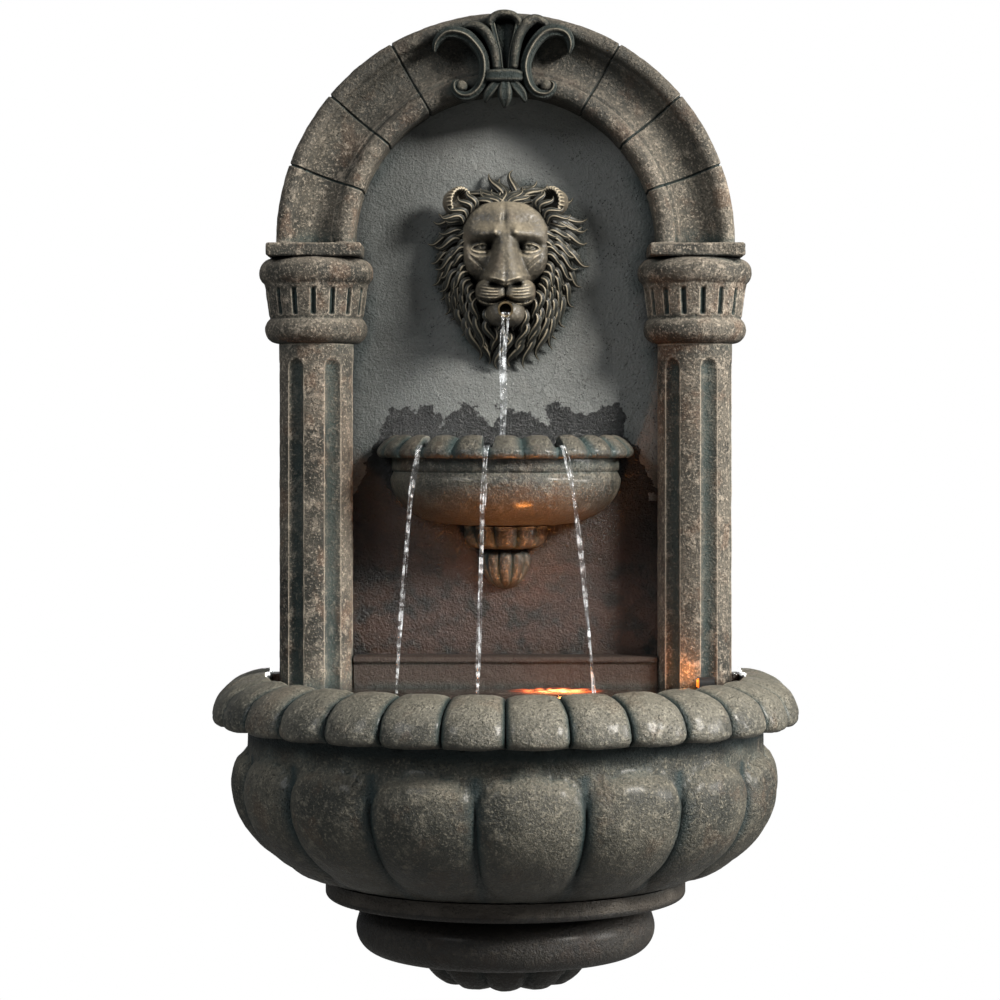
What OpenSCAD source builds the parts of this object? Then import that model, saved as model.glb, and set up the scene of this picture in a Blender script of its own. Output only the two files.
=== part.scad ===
// Lion head wall fountain: a hollow cast body that hangs on a wall, with two basins and its water works.
// Millimetres. The wall is the plane y = 0, the front faces -Y, and heights count up from the lowest point
// until on_wall() moves them, so that the origin lies midway between the two hanging holes.

/* [Back panel] */
// Width of the arched back panel
panel_w = 390; // [376:2:396]
// Depth of the panel from the wall to the face of the niche
panel_d = 22; // [21:0.5:24]
// Height of the niche from the seat of the basin rim to the springing of the arch
niche_h = 405; // [400:1:440]
// Wall of the cast pieces
cast_wall = 5; // [4:0.5:5.5]

/* [Arch and crest] */
// Width of the arch moulding, seen from the front
arch_band_w = 67; // [62:1:68]
// How far the rolls of the arch stand out from the face of the niche
arch_proud = 53; // [50:1:58]
// Width of the roll on the outer edge of the arch
outer_roll_w = 15; // [12:1:17]
// Width of the roll on the inner edge of the arch
inner_roll_w = 17; // [14:1:19]
// How far the cove of the arch is hollowed out
cove_depth = 16; // [12:1:18]
// Angle from one stone joint to the next
voussoir_pitch = 20; // [18:1:22]
// Depth of the stone joints
joint_depth = 1.6; // [1:0.2:2.4]
// Half the width of the crest
crest_half_w = 58; // [54:1:62]
// How far the crest stands out from the rolls of the arch
crest_proud = 18; // [15:1:22]

/* [Columns] */
// Distance between the axes of the two columns
column_spacing = 324; // [318:1:326]
// Radius of the column shafts
shaft_r = 32; // [30:0.5:33]
// How far the axis of a column lies in front of the niche
column_proud = 20; // [16:1:24]
// Radius of the cutter that makes a flute
flute_r = 9; // [7:0.5:10]
// Depth of the flutes
flute_depth = 5; // [3:0.5:6]
// Bare length of the shaft above the flutes
flute_margin = 12; // [8:1:20]
// How far the shafts reach down below the seat of the basin rim
shaft_dip = 18; // [10:1:22]
// How far the right column is turned towards the niche
right_turn = -11; // [-20:1:0]
// Height of the lower roll of a capital
capital_lower_h = 24; // [20:1:28]
// Height of the grooved neck of a capital
capital_neck_h = 24; // [20:1:28]
// Height of the upper roll of a capital
capital_upper_h = 25; // [21:1:29]
// Height of the square block on top of a capital
abacus_h = 12; // [8:1:15]
// Radius of the lower roll
capital_lower_r = 44; // [41:0.5:46]
// Radius of the upper roll
capital_upper_r = 49; // [46:0.5:51]
// Width of the block on top of a capital
abacus_w = 82; // [76:1:86]

/* [Lion mask] */
// Height of the middle of the mask below the springing of the arch
mask_drop = 18; // [10:1:26]
// Half the width of the mane
mane_half_w = 69; // [64:1:76]
// Reach of the mane above the middle of the mask
mane_up = 80; // [74:1:86]
// Reach of the beard below the middle of the mask
mane_down = 84; // [78:1:90]
// How far the nose stands out from the niche
mask_proud = 73; // [66:1:80]
// Number of locks round the mane
lock_count = 20; // [16:1:24]
// Outer radius of the spout
spout_r = 6.5; // [6:0.1:7.5]
// Bore radius of the spout
spout_bore_r = 5; // [4.5:0.1:5.2]
// Height of the spout below the middle of the mask
spout_drop = 39.5; // [36:0.5:42]
// How far the spout stands out from the niche
spout_proud = 76; // [70:1:84]

/* [Upper bowl] */
// Height of the underside of the upper rim above the seat of the basin rim
upper_seat = 224; // [205:1:240]
// Radius of the upper bowl below its rim
upper_bowl_r = 100; // [95:1:104]
// How far the lip of the upper rim stands out beyond the upper bowl
upper_lip = 12; // [9:0.5:14]
// Height of the upper bowl below its rim
upper_bowl_h = 59; // [54:1:66]
// Number of lobes on the upper rim
upper_lobes = 11; // [9:2:13]
// Width of the pouring notches in the upper rim
notch_w = 10; // [8:0.5:13]
// Radius of the upper tier of the corbel
corbel_r = 37; // [34:0.5:40]
// Height of the upper tier of the corbel
corbel_upper_h = 21; // [18:1:24]
// Height of the lower tier of the corbel
corbel_lower_h = 35; // [30:1:40]

/* [Basin] */
// How far the round axis of the basin lies in front of the wall
axis_d = 55; // [50:1:60]
// Distance between the sides of the panel and the inner edge of the basin rim
rim_clear = 7; // [6:0.5:9]
// Width of the basin rim
rim_w = 48; // [44:1:52]
// Height of the basin rim
rim_h = 40; // [36:1:46]
// Number of rim lobes in the half circle
rim_lobes = 15; // [13:2:17]
// How far the bowl swells out beyond its neck
bowl_out = 12.5; // [10:0.5:14]
// Height of the swelling part of the bowl
bowl_h = 112; // [106:1:120]
// Height of the smooth neck between bowl and rim
neck_h = 21; // [16:1:26]
// How far the rim reaches inwards over the neck
neck_in = 19; // [17:0.5:21]
// Number of bowl lobes in the half circle
bowl_lobes = 8; // [6:1:10]
// Angle by which the bowl lobes are turned to the right
bowl_turn = 5.2; // [0:0.2:10]
// Depth of the valleys between the bowl lobes
valley = 9; // [6:0.5:11]
// Wall of the bowl under its valleys
bowl_wall = 7; // [6:0.5:9]
// Height of the flat ring under the bowl
ring_h = 16; // [12:1:20]
// Radius of the flat ring
ring_r = 153; // [148:1:158]
// Height of the round tier under the ring
torus_h = 47; // [42:1:52]
// Radius of the round tier
torus_r = 127; // [120:1:132]
// Height of the lobed knob at the bottom
finial_h = 28; // [24:1:32]
// Radius of the lobed knob
finial_r = 70; // [64:1:76]
// Height of the sill above the seat of the basin rim
sill_rise = 53; // [52:0.5:60]
// Depth of the sill from the niche
sill_d = 27; // [26:0.5:30]
// Wall of the sill
sill_wall = 3.5; // [3:0.5:4]

/* [Water works] */
// Outer radius of the riser tube
tube_r = 6; // [5.8:0.1:6.2]
// Bore radius of the riser tube
tube_bore_r = 4.5; // [4.3:0.1:4.6]
// Bend radius of the riser tube
tube_bend = 20; // [19:0.5:22]
// Distance from the wall to the middle of the riser behind the panel
riser_d = 9.5; // [8.5:0.25:10]
// Length of the pump motor block
motor_l = 46; // [40:1:54]
// Width of the pump
pump_w = 44; // [42:1:46]
// Height of the pump
pump_h = 40; // [38:1:44]
// Length of the impeller chamber
chamber_l = 16; // [14:1:20]
// Radius of the impeller chamber
chamber_r = 15; // [13:0.5:16]
// Thickness of the pump cover
cover_t = 3; // [2.5:0.5:4]
// Length of the strainer
strainer_l = 20; // [17:1:24]
// Radius of the rotor magnet
magnet_r = 7.5; // [6:0.5:8.5]
// Radius of the impeller shaft
shaft_pin_r = 1.5; // [1.2:0.1:2]
// Number of impeller blades
blade_count = 6; // [5:1:8]
// Radius of the flow dial
dial_r = 9; // [7:0.5:11]
// Height of the suction cups under the pump
cup_h = 8; // [6:0.5:10]

/* [Lamps] */
// Radius of the lamp on the floor of the basin
pool_lamp_r = 15; // [12:0.5:18]
// Distance of the pool lamp to the right of the middle
pool_lamp_x = 46; // [40:1:54]
// Distance of the pool lamp from the wall
pool_lamp_d = 118; // [108:1:126]
// Radius of the small lamp at the foot of the right column
side_lamp_r = 5; // [4:0.25:6]
// Length of the small lamp
side_lamp_l = 13; // [11:0.5:15]
// Height of the small lamp above the seat of the basin rim
side_lamp_z = 33; // [31:0.5:36]

/* [Hanging] */
// Distance between the two hanging holes
hanger_spacing = 300; // [280:2:310]
// Height of the hanging holes above the springing of the arch
hanger_rise = 11; // [0:1:20]
// Radius of the round part of a hanging hole
hanger_hole_r = 5.5; // [5:0.1:6.5]
// Width of the slot above the round part
hanger_slot_w = 5; // [4:0.5:6]
// Width of a hanging plate
hanger_w = 26; // [22:1:30]
// Height of a hanging plate
hanger_h = 62; // [56:1:70]
// Thickness of a hanging plate
hanger_t = 2; // [1.5:0.25:3]
// Radius of the cable grommet
grommet_r = 7; // [6:0.5:8]

/* [Hidden] */
$fn = 64;

// Finishes
aged_bronze = [0.36, 0.35, 0.30];
slate_grey = [0.33, 0.36, 0.37];
wet_bronze = [0.24, 0.24, 0.21];
pale_bronze = [0.47, 0.44, 0.37];

// Clearances
seat_gap = 0.3;
running_gap = 0.05;
eps = 0.01;

// Heights above the lowest point
torus_z = finial_h;
ring_z = torus_z + torus_h;
bowl_z = ring_z + ring_h;
neck_z = bowl_z + bowl_h;
rim_z = neck_z + neck_h;
floor_z = bowl_z + bowl_wall;
sill_z = rim_z + sill_rise;
shaft_foot_z = rim_z - shaft_dip;
spring_z = rim_z + niche_h;
abacus_z = spring_z - abacus_h;
upper_roll_z = abacus_z - capital_upper_h;
capital_neck_z = upper_roll_z - capital_neck_h;
shaft_top_z = capital_neck_z - capital_lower_h;
mask_z = spring_z - mask_drop;
spout_z = mask_z - spout_drop;
upper_rim_z = rim_z + upper_seat;
upper_bowl_z = upper_rim_z - upper_bowl_h;
hang_z = spring_z + hanger_rise;

// Distances across
arch_r = panel_w / 2;
rim_inner_r = arch_r + rim_clear;
rim_lip_r = rim_inner_r + rim_w;
neck_r = rim_inner_r + neck_in;
bowl_r = neck_r + bowl_out;
upper_lip_r = upper_bowl_r + upper_lip;
arch_inner_r = arch_r - arch_band_w;
niche_y = -panel_d;
roll_front = panel_d + arch_proud;
sill_half_w = column_spacing / 2 - shaft_r - 0.5;
column_y = -panel_d - column_proud;
bowl_back = panel_d;

module on_wall() {
    translate([0, 0, -hang_z]) children();
}

function clamp01(t) = min(max(t, 0), 1);
function smooth(t) = let (c = clamp01(t)) c * c * (3 - 2 * c);

// Round about the basin's axis: a counts in degrees from the front, and past 90 the path runs straight back.
function along(a, r, z, ref, axis = axis_d) =
    abs(a) <= 90
        ? [r * sin(a), -axis - r * cos(a), z]
        : [sign(a) * r, -axis + (abs(a) - 90) * PI / 180 * ref, z];

// The angle at which that path reaches a distance from the wall
function end_angle(ref, back) = 90 + (axis_d - back) / ref * 180 / PI;

// Angles of a gadrooned shell, with a station on each valley
function stations(pitch, turn, per, last) = let (
    step = pitch / per,
    first = ceil((-last - turn) / step + 0.2),
    count = floor((last - turn) / step - 0.2)
) concat([-last], [for (k = [first:count]) turn + k * step], [last]);

// Place across a lobe, from -1 in one valley to 1 in the next
function across(a, pitch, turn) = let (t = (a - turn) / pitch) 2 * (t - floor(t)) - 1;

// Faces of a strip between two neighbouring stations, for a loop of n points
function loop_faces(n, m) = [
    for (i = [0:m - 2], j = [0:n - 1]) each let (
        a = i * n + j, b = i * n + (j + 1) % n, c = a + n, d = b + n
    ) [[a, b, c], [b, d, c]]
];

// A closed loop swept through stations: sections[i] is the loop at station i, round its point 0
module swept(sections) {
    n = len(sections[0]);
    m = len(sections);
    polyhedron(
        points = [for (s = sections) each s],
        faces = concat(
            loop_faces(n, m),
            [for (j = [1:n - 2]) [0, j + 1, j]],
            [for (j = [1:n - 2]) [(m - 1) * n, (m - 1) * n + j, (m - 1) * n + j + 1]]
        )
    );
}

// An open-backed bowl with a floor, from rows of outer and inner points at each station
module bowl_shell(outer, inner) {
    n = len(outer[0]);
    m = len(outer);
    shift = m * n;
    last = m - 1;
    front = floor(m / 2);
    polyhedron(
        points = concat([for (s = outer) each s], [for (s = inner) each s]),
        faces = concat(
            [for (i = [0:m - 2], j = [0:n - 2]) each let (a = i * n + j, c = a + n)
                [[a, a + 1, c], [a + 1, c + 1, c]]],
            [for (i = [0:m - 2], j = [0:n - 2]) each let (a = shift + i * n + j, c = a + n)
                [[a, c, a + 1], [a + 1, c, c + 1]]],
            [for (i = [0:m - 2]) each let (a = i * n + n - 1, c = a + n)
                [[a, a + shift, c], [a + shift, c + shift, c]]],
            [for (j = [0:n - 2]) each let (a = j)
                [[a, a + shift, a + 1], [a + 1, a + shift, a + 1 + shift]]],
            [for (j = [0:n - 2]) each let (a = last * n + j)
                [[a, a + 1, a + shift], [a + 1, a + 1 + shift, a + shift]]],
            [for (i = [0:m - 1]) let (k = (i + 1) % m) if (i != front && k != front)
                [front * n, i * n, k * n]],
            [for (i = [0:m - 1]) let (k = (i + 1) % m) if (i != front && k != front)
                [shift + front * n, shift + k * n, shift + i * n]],
            [[0, last * n, shift], [last * n, shift + last * n, shift]]
        )
    );
}

// A solid lobed boss with a flat back, from rows of points that run from its left end to its right end
module lobed_boss(rows) {
    m = len(rows[0]);
    n = len(rows);
    low = (rows[0][0] + rows[0][m - 1] + rows[0][floor(m / 2)]) / 3;
    top = (rows[n - 1][0] + rows[n - 1][m - 1] + rows[n - 1][floor(m / 2)]) / 3;
    polyhedron(
        points = concat([for (r = rows) each r], [low, top]),
        faces = concat(
            [for (j = [0:n - 2], i = [0:m - 1]) each let (
                a = j * m + i, b = j * m + (i + 1) % m, c = a + m, d = b + m
            ) [[a, c, b], [b, c, d]]],
            [for (i = [0:m - 1]) [i, (i + 1) % m, n * m]],
            [for (i = [0:m - 1]) [(n - 1) * m + i, n * m + 1, (n - 1) * m + (i + 1) % m]]
        )
    );
}

// A profile of radius and height, turned half round the basin's axis and run straight back
module half_round(back) {
    translate([0, -axis_d, 0]) rotate([0, 0, 180]) rotate_extrude(angle = 180) children();
    for (side = [0, 1]) mirror([side, 0, 0])
        translate([0, -back, 0]) rotate([90, 0, 0]) linear_extrude(axis_d - back) children();
}

// A bar along X whose section lies in the plane of Y and Z
module along_x(x0, x1) {
    translate([x0, 0, 0]) rotate([90, 0, 90]) linear_extrude(x1 - x0) children();
}

// A round bar along Y between two distances from the wall
module peg(x, z, r, d0, d1) {
    translate([x, -d0, z]) rotate([90, 0, 0]) cylinder(r = r, h = d1 - d0);
}

// Swelling outline of the bowl at a height above its foot
bowl_swell = 123.5;
bowl_core_r = bowl_r - bowl_swell;
bowl_widest = bowl_h * 0.74;
function bowl_profile(h) = let (
    reach = h < bowl_widest ? bowl_widest + 5 : (bowl_h - bowl_widest) * 1.8
) bowl_core_r + bowl_swell * sqrt(1 - pow((h - bowl_widest) / reach, 2));

// Front outline of the panel where it closes the back of the basin and its foot
panel_inset = valley - 1;
foot_outline = concat(
    [[finial_r * 0.62, 0.5], [finial_r - 6, finial_h * 0.5], [finial_r - 4, torus_z - eps]],
    [[torus_r - 22, torus_z], [torus_r - 5, torus_z + 16], [torus_r - 3, ring_z - 18], [torus_r - 9, ring_z]],
    [[ring_r - 2, ring_z + eps], [ring_r - 2, bowl_z]],
    [for (k = [0:10]) let (h = bowl_h * (0.02 + 0.94 * k / 10))
        [min(bowl_profile(h), bowl_r) - panel_inset, bowl_z + h]],
    [[neck_r - 1, neck_z], [neck_r - 1, rim_z]],
    [[rim_inner_r - seat_gap, rim_z], [rim_inner_r - seat_gap, rim_z + rim_h - 4]]
);

module panel_outline(t) {
    translate([0, spring_z]) circle(r = arch_r - t, $fn = 128);
    translate([-arch_r + t, rim_z]) square([panel_w - 2 * t, niche_h]);
    polygon(concat(
        [for (p = foot_outline) [max(p[0] - 1.3 * t, 4), max(p[1], t)]],
        [for (k = [len(foot_outline) - 1:-1:0]) let (p = foot_outline[k])
            [-max(p[0] - 1.3 * t, 4), max(p[1], t)]]
    ));
}

module upright(d0, d1) {
    translate([0, -d0, 0]) rotate([90, 0, 0]) linear_extrude(d1 - d0) children();
}

// How deep a lobe has fallen at a place across it, 0 on its crest and 1 in the valley
function fall(u) = pow(abs(u), 2.4);

// Where the riser tube passes from the sill through the panel into its hollow back
sill_tube_d = panel_d + sill_d - sill_wall - tube_r - 1.5;
tube_shift = sill_tube_d - riser_d;
tube_angle = acos(1 - tube_shift / (2 * tube_bend));
bend_rise = tube_bend * sin(tube_angle);

// Height above the middle of the bends at which a side of the upper bend crosses a distance from the wall
function bend_edge(d, r) = bend_rise - r * sin(acos(min((riser_d + tube_bend - d) / r, 1)));
pass_top = bend_edge(panel_d - cast_wall, tube_bend - tube_r);
pass_low = bend_edge(panel_d, tube_bend + tube_r);
tube_hole_r = (pass_top - pass_low) / 2 + 0.5;
tube_hole_z = sill_z - sill_wall - tube_hole_r - 0.6;
tube_mid_z = tube_hole_z - (pass_top + pass_low) / 2;

// Cable grommet, beside the tube hole and above the water
grommet_neck_r = grommet_r - 2;
grommet_x = tube_hole_r + grommet_r + 8;

// Hanging plates
hanger_screw_dz = hanger_h / 2 - 8;
hanger_screw_r = 1.8;
hanger_boss_r = 8;

module back_panel() color(slate_grey) on_wall() difference() {
    union() {
        difference() {
            upright(0, panel_d) panel_outline(0);
            upright(-1, panel_d - cast_wall) panel_outline(cast_wall);
        }
        for (x = [-1, 1] * hanger_spacing / 2, dz = [-1, 1] * hanger_screw_dz)
            peg(x, hang_z + dz, hanger_boss_r, hanger_t, panel_d - cast_wall + 1);
    }
    for (x = [-1, 1] * hanger_spacing / 2, dz = [-1, 1] * hanger_screw_dz)
        peg(x, hang_z + dz, hanger_screw_r, -1, panel_d - cast_wall - 2);
    peg(0, spout_z, spout_r + running_gap, -1, panel_d + 1);
    peg(0, tube_hole_z, tube_hole_r, -1, panel_d + 1);
    peg(grommet_x, tube_hole_z, grommet_neck_r + running_gap, -1, panel_d + 1);
}

sill_lip = 6;
module niche_sill() color(wet_bronze) on_wall() difference() {
    union() {
        translate([-sill_half_w, niche_y - sill_d, shaft_foot_z])
            cube([2 * sill_half_w, sill_d, sill_z - shaft_foot_z]);
        along_x(-sill_half_w, sill_half_w) {
            translate([niche_y - sill_d, sill_z - sill_lip / 2]) circle(r = sill_lip / 2);
        }
    }
    translate([-sill_half_w + sill_wall, niche_y - sill_d + sill_wall, shaft_foot_z - 1])
        cube([2 * (sill_half_w - sill_wall), sill_d - sill_wall + 1, sill_z - sill_wall - shaft_foot_z + 1]);
}

// A column shaft with four flutes in sight, cut flat where it is bonded to the panel
flute_c = shaft_r + flute_r - flute_depth;
module shaft(turn) difference() {
    translate([0, column_y, shaft_foot_z]) cylinder(r = shaft_r, h = shaft_top_z - shaft_foot_z);
    for (a = [-90, -30, 30, 90]) translate([0, column_y, 0]) rotate([0, 0, a + turn])
        translate([0, -flute_c, 0]) {
            translate([0, 0, shaft_foot_z - 1])
                cylinder(r = flute_r, h = shaft_top_z - flute_margin - flute_r - shaft_foot_z + 1);
            translate([0, 0, shaft_top_z - flute_margin - flute_r]) sphere(r = flute_r);
        }
    translate([-shaft_r - 1, niche_y, shaft_foot_z - 1])
        cube([2 * shaft_r + 2, shaft_r, shaft_top_z - shaft_foot_z + 2]);
}

module column_left() color(pale_bronze) on_wall() translate([-column_spacing / 2, 0, 0]) shaft(0);
module column_right() color(pale_bronze) on_wall() translate([column_spacing / 2, 0, 0]) shaft(right_turn);

// The round outside of a roll moulding, between the radii of what meets it below and above
roll_steps = 8;
function roll_angle(r, h, edge) = acos(clamp01((edge - r + h / 2) / (h / 2)));
function roll_arc(r, z, h, below, above) = let (from = -roll_angle(r, h, below), to = roll_angle(r, h, above))
    [for (k = [0:roll_steps]) let (a = from + (to - from) * k / roll_steps)
        [r - h / 2 + h / 2 * cos(a), z + h / 2 + h / 2 * sin(a)]];

neck_low_r = capital_lower_r - 6;
neck_top_r = capital_upper_r - 5;
groove_r = 1.7;
groove_pitch = 22.5;
abacus_bed = 3;
module capital(turn) difference() {
    lower = roll_arc(capital_lower_r, shaft_top_z, capital_lower_h, 0, neck_low_r);
    upper = roll_arc(capital_upper_r, upper_roll_z, capital_upper_h, neck_top_r, capital_upper_r - 6);
    translate([0, column_y, 0]) union() {
        rotate_extrude() polygon(concat(
            [[0, shaft_top_z]], lower, upper, [[0, upper[roll_steps][1]]]
        ));
        translate([-abacus_w / 2, -abacus_w / 2, abacus_z - abacus_bed])
            cube([abacus_w, abacus_w, abacus_h + abacus_bed]);
    }
    for (k = [-5:5]) translate([0, column_y, capital_neck_z]) rotate([0, 0, k * groove_pitch + turn])
        translate([0, -neck_low_r, 0]) rotate([atan((neck_top_r - neck_low_r) / capital_neck_h), 0, 0])
            translate([0, 0, 1]) cylinder(r = groove_r, h = capital_neck_h - 2);
    translate([-abacus_w, niche_y, shaft_top_z - 1])
        cube([2 * abacus_w, abacus_w, spring_z - shaft_top_z + 2]);
}

module capital_left() color(pale_bronze) on_wall() translate([-column_spacing / 2, 0, 0]) capital(0);
module capital_right() color(pale_bronze) on_wall() translate([column_spacing / 2, 0, 0]) capital(6);

// Section of the arch moulding: radius across, distance from the wall upwards
cove_w = arch_band_w - outer_roll_w - inner_roll_w;
cove_mid_r = arch_inner_r + inner_roll_w + cove_w / 2;
cove_r = (pow(cove_w / 2, 2) + pow(cove_depth, 2)) / (2 * cove_depth);
cove_d = roll_front - cove_depth + cove_r;
roll_lap = 0.5;
module arch_profile(inset) difference() {
    union() {
        translate([arch_inner_r + roll_lap + inset, panel_d + inset / 4])
            square([arch_band_w - 2 * (roll_lap + inset), arch_proud - outer_roll_w / 2 - inset]);
        translate([arch_r - outer_roll_w / 2, roll_front - outer_roll_w / 2])
            circle(r = outer_roll_w / 2 - inset);
        translate([arch_inner_r + inner_roll_w / 2, roll_front - inner_roll_w / 2])
            circle(r = inner_roll_w / 2 - inset);
    }
    translate([cove_mid_r, cove_d]) circle(r = cove_r + inset);
}

// A stretch of the arch between two angles from its right foot
module arch_stretch(a0, a1, inset) {
    translate([0, 0, spring_z]) rotate([90, 0, 0]) rotate([0, 0, a0])
        rotate_extrude(angle = a1 - a0, $fn = 128) arch_profile(inset);
}

joint_a = 0.3;
joints = concat([for (k = [1:3]) k * voussoir_pitch], [for (k = [3:-1:1]) 180 - k * voussoir_pitch]);
module arch_moulding() color(pale_bronze) on_wall() {
    for (a = joints) arch_stretch(a - 3 * joint_a, a + 3 * joint_a, joint_depth);
    for (k = [0:len(joints)])
        arch_stretch(
            k == 0 ? 0 : joints[k - 1] + joint_a,
            k == len(joints) ? 180 : joints[k] - joint_a, 0
        );
}

// The crest: two scrolls, a fan of three leaves, a band and three drops, over a pad that fills the cove.
// Places are given across, and up from the inner edge of the arch.
crest_z = spring_z + arch_inner_r;
crest_top = arch_band_w;
crest_back = roll_front + seat_gap;
pad_angle = 11;
scroll_route = [
    [crest_half_w - 6, 40, 6], [crest_half_w - 10, 49, 6.5], [crest_half_w - 20, 53, 6.5],
    [crest_half_w - 30, 48, 6], [19, 36, 5.5], [15, 21, 5], [18, 7, 5], [27, -3, 4.5], [36, -3, 4],
    [40, 4, 3.5], [36, 9, 4.5]
];
module bead(x, z, r, lift = 0) {
    translate([x, -crest_back - 4 - lift, crest_z + z]) sphere(r = r, $fn = 12);
}
module link(x0, z0, r0, x1, z1, r1, lift = 0) hull() {
    bead(x0, z0, r0, lift);
    bead(x1, z1, r1, lift);
}
module crest_leaves() {
    link(0, 18, 6, 0, crest_top - 13, 12, 2);
    for (side = [-1, 1]) {
        link(side * 5, 18, 5, side * 21, crest_top - 16, 8.5);
        link(side * 5, 8, 4, side * 13, -6, 3.5);
        for (k = [0:len(scroll_route) - 2]) let (p = scroll_route[k], q = scroll_route[k + 1])
            link(side * p[0], p[1], p[2], side * q[0], q[1], q[2], 3);
    }
    link(0, 8, 6, 0, -9, 3, 2);
    link(-12, 14, 6, 12, 14, 6, crest_proud - 10);
}
module crest() color(aged_bronze) on_wall() {
    intersection() {
        crest_leaves();
        translate([-100, -crest_back - crest_proud, crest_z - 40]) cube([200, crest_proud, 140]);
    }
    hull() for (side = [-1, 1]) {
        translate([side * 10, -crest_back, crest_z + 2]) rotate([90, 0, 0]) cylinder(r = 6, h = 4, $fn = 16);
        translate([side * 26, -crest_back, crest_z + 46]) rotate([90, 0, 0]) cylinder(r = 8, h = 4, $fn = 16);
    }
    intersection() {
        translate([0, 0, spring_z]) rotate([90, 0, 0]) rotate([0, 0, 90 - pad_angle])
            rotate_extrude(angle = 2 * pad_angle, $fn = 96) intersection() {
                translate([cove_mid_r, cove_d]) circle(r = cove_r - seat_gap, $fn = 32);
                translate([arch_inner_r, roll_front - cove_depth]) square([arch_band_w, cove_depth + 2]);
            }
        translate([-60, -crest_back - 1, crest_z - 5]) cube([120, 60, arch_band_w]);
    }
}

// The mask: one relief over a polar net, whose spokes swing with the locks of the mane. Its places are
// across and up from the middle of the mask, and its heights stand out from the niche.
mask_edge = 5;
mask_depth = 73;
face_share = 0.54;
face_rings = 12;
mane_rings = 11;
mask_rings = face_rings + mane_rings;
mask_spokes = 4 * lock_count;
function bump(x, z, cx, cz, rx, rz) = exp(-pow((x - cx) / rx, 2) - pow((z - cz) / rz, 2));
function blend_max(a, b, k) = let (m = max(a, b)) m + ln(exp(k * (a - m)) + exp(k * (b - m))) / k;
function dome(x, z, cx, cz, rx, rz, low, rise, p = 2.2) = let (
    q = pow(abs((x - cx) / rx), p) + pow(abs((z - cz) / rz), p)
) low + rise * sqrt(max(1 - q, 0)) - 60 * min(max(q - 1, 0), 3);

// Ridge of the snout from the brow to the nose, and half its width, by height
snout_top = [
    [-23, 0], [-18.5, 46], [-16, 71], [-13, 72.5], [-6, 69], [4, 64], [14, 60], [26, 56], [36, 46], [44, 20]
];
snout_half = [[-17, 13], [-13, 14], [-6, 12.5], [4, 10.5], [14, 8.5], [26, 7], [46, 5]];

// Brow, eyes, snout, whisker pads and chin, alike on both sides
function face_height(x, z) = let (
    ax = abs(x),
    skull = blend_max(dome(x, z, 0, 18, 36, 35, 33, 18, 2.6), dome(ax, z, 23, 6, 12.5, 14, 34, 10), 0.35),
    brow = 4.5 * bump(ax, z, 15, 25, 12, 5) + 4 * bump(ax, z, 8.5, 27, 4.5, 5)
        - 3 * bump(x, z, 0, 33, 2.6, 12),
    socket = 12 * bump(ax, z, 20, 15, 9, 4.6) + 7 * bump(ax, z, 13, 14, 4.5, 5.5),
    eyes = blend_max(skull + brow - socket, dome(ax, z, 20.5, 14, 6, 3.4, 37, 7), 1.5),
    snout = lookup(z, snout_top) - 15 * pow(ax / (lookup(z, snout_half) + 2.5), 3),
    pads = dome(ax, z, 11, -24.5, 13.5, 12, 45, 20),
    chin = dome(x, z, 0, -40.5, 15.5, 11, 41, 16, 2.5),
    low = blend_max(blend_max(eyes, snout, 0.55), blend_max(pads, chin, 1), 0.9)
) low - 6 * bump(ax, z, 9.5, -18, 5, 2.4) - 7 * bump(x, z, 0, -35, 19, 2.4);

// Outline of the mane: an oval that narrows to the beard
function mane_reach(a) = let (
    c = cos(a), s = sin(a), up = s > 0 ? mane_up : mane_down,
    oval = 1 / pow(pow(abs(c / mane_half_w), 2.2) + pow(abs(s / up), 2.2), 1 / 2.2)
) oval * (1 - 0.13 * smooth(-s * 1.4) * (1 - pow(abs(s), 5)));

// Layers of locks, inner to outer: from, to, height at the root, height at the tip
mane_layers = [[0.42, 0.70, 37, 33], [0.60, 0.86, 33, 22], [0.76, 1, 24, 9]];
lock_swing = 9;

// Height of the mane: each layer's locks rise in their middle and end in points, over the tips below them
function mane_height(lane, t) = max([for (k = [0:len(mane_layers) - 1]) let (
    m = mane_layers[k],
    cell = lane + k / 2,
    turn = floor(cell),
    u = abs(2 * (cell - turn) - 1),
    tip = m[1] - (k == len(mane_layers) - 1 ? 0 : 0.02 * (1 + sin(turn * 97))) - 0.10 * pow(u, 1.6),
    s = (t - m[0]) / (tip - m[0])
) s < 0 || s > 1.001 ? 0 : (m[2] + (m[3] - m[2]) * s + 4 * sin(180 * s)) * (1 - (0.10 + 0.12 * s) * u * u)]);

// Cupped ears, open to the front
ear_x = 43;
ear_z = 54;
ear_r = 11.5;
function ear_height(x, z) = let (
    q = sqrt(pow(abs(x) - ear_x, 2) + pow(z - ear_z, 2)) / ear_r,
    cup = sqrt(pow(abs(x) - ear_x + 2, 2) + pow(z - ear_z + 1.5, 2)) / ear_r
) q > 1 ? 0 : 31 + 14 * sqrt(1 - q * q) - 24 * smooth((0.85 - cup) / 0.45);

function mask_point(k, i) = let (
    t = k < face_rings ? face_share * k / face_rings
        : face_share + (1 - face_share) * (k - face_rings) / mane_rings,
    lane = i / 4,
    a0 = 90 + 360 * i / mask_spokes,
    a = a0 + lock_swing * cos(a0) * sin(300 * (t - face_share) / (1 - face_share)) * smooth((t - 0.3) / 0.3),
    tip = 1 - 0.07 * smooth((t - 0.8) / 0.2) * (0.5 + 0.5 * cos(360 * lane)),
    r = mane_reach(a) * t * tip,
    x = r * cos(a), z = r * sin(a),
    h = max(face_height(x, z), mane_height(lane, t), ear_height(x, z), mask_edge)
) [x, niche_y - h * mask_proud / mask_depth, mask_z + z];

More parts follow.
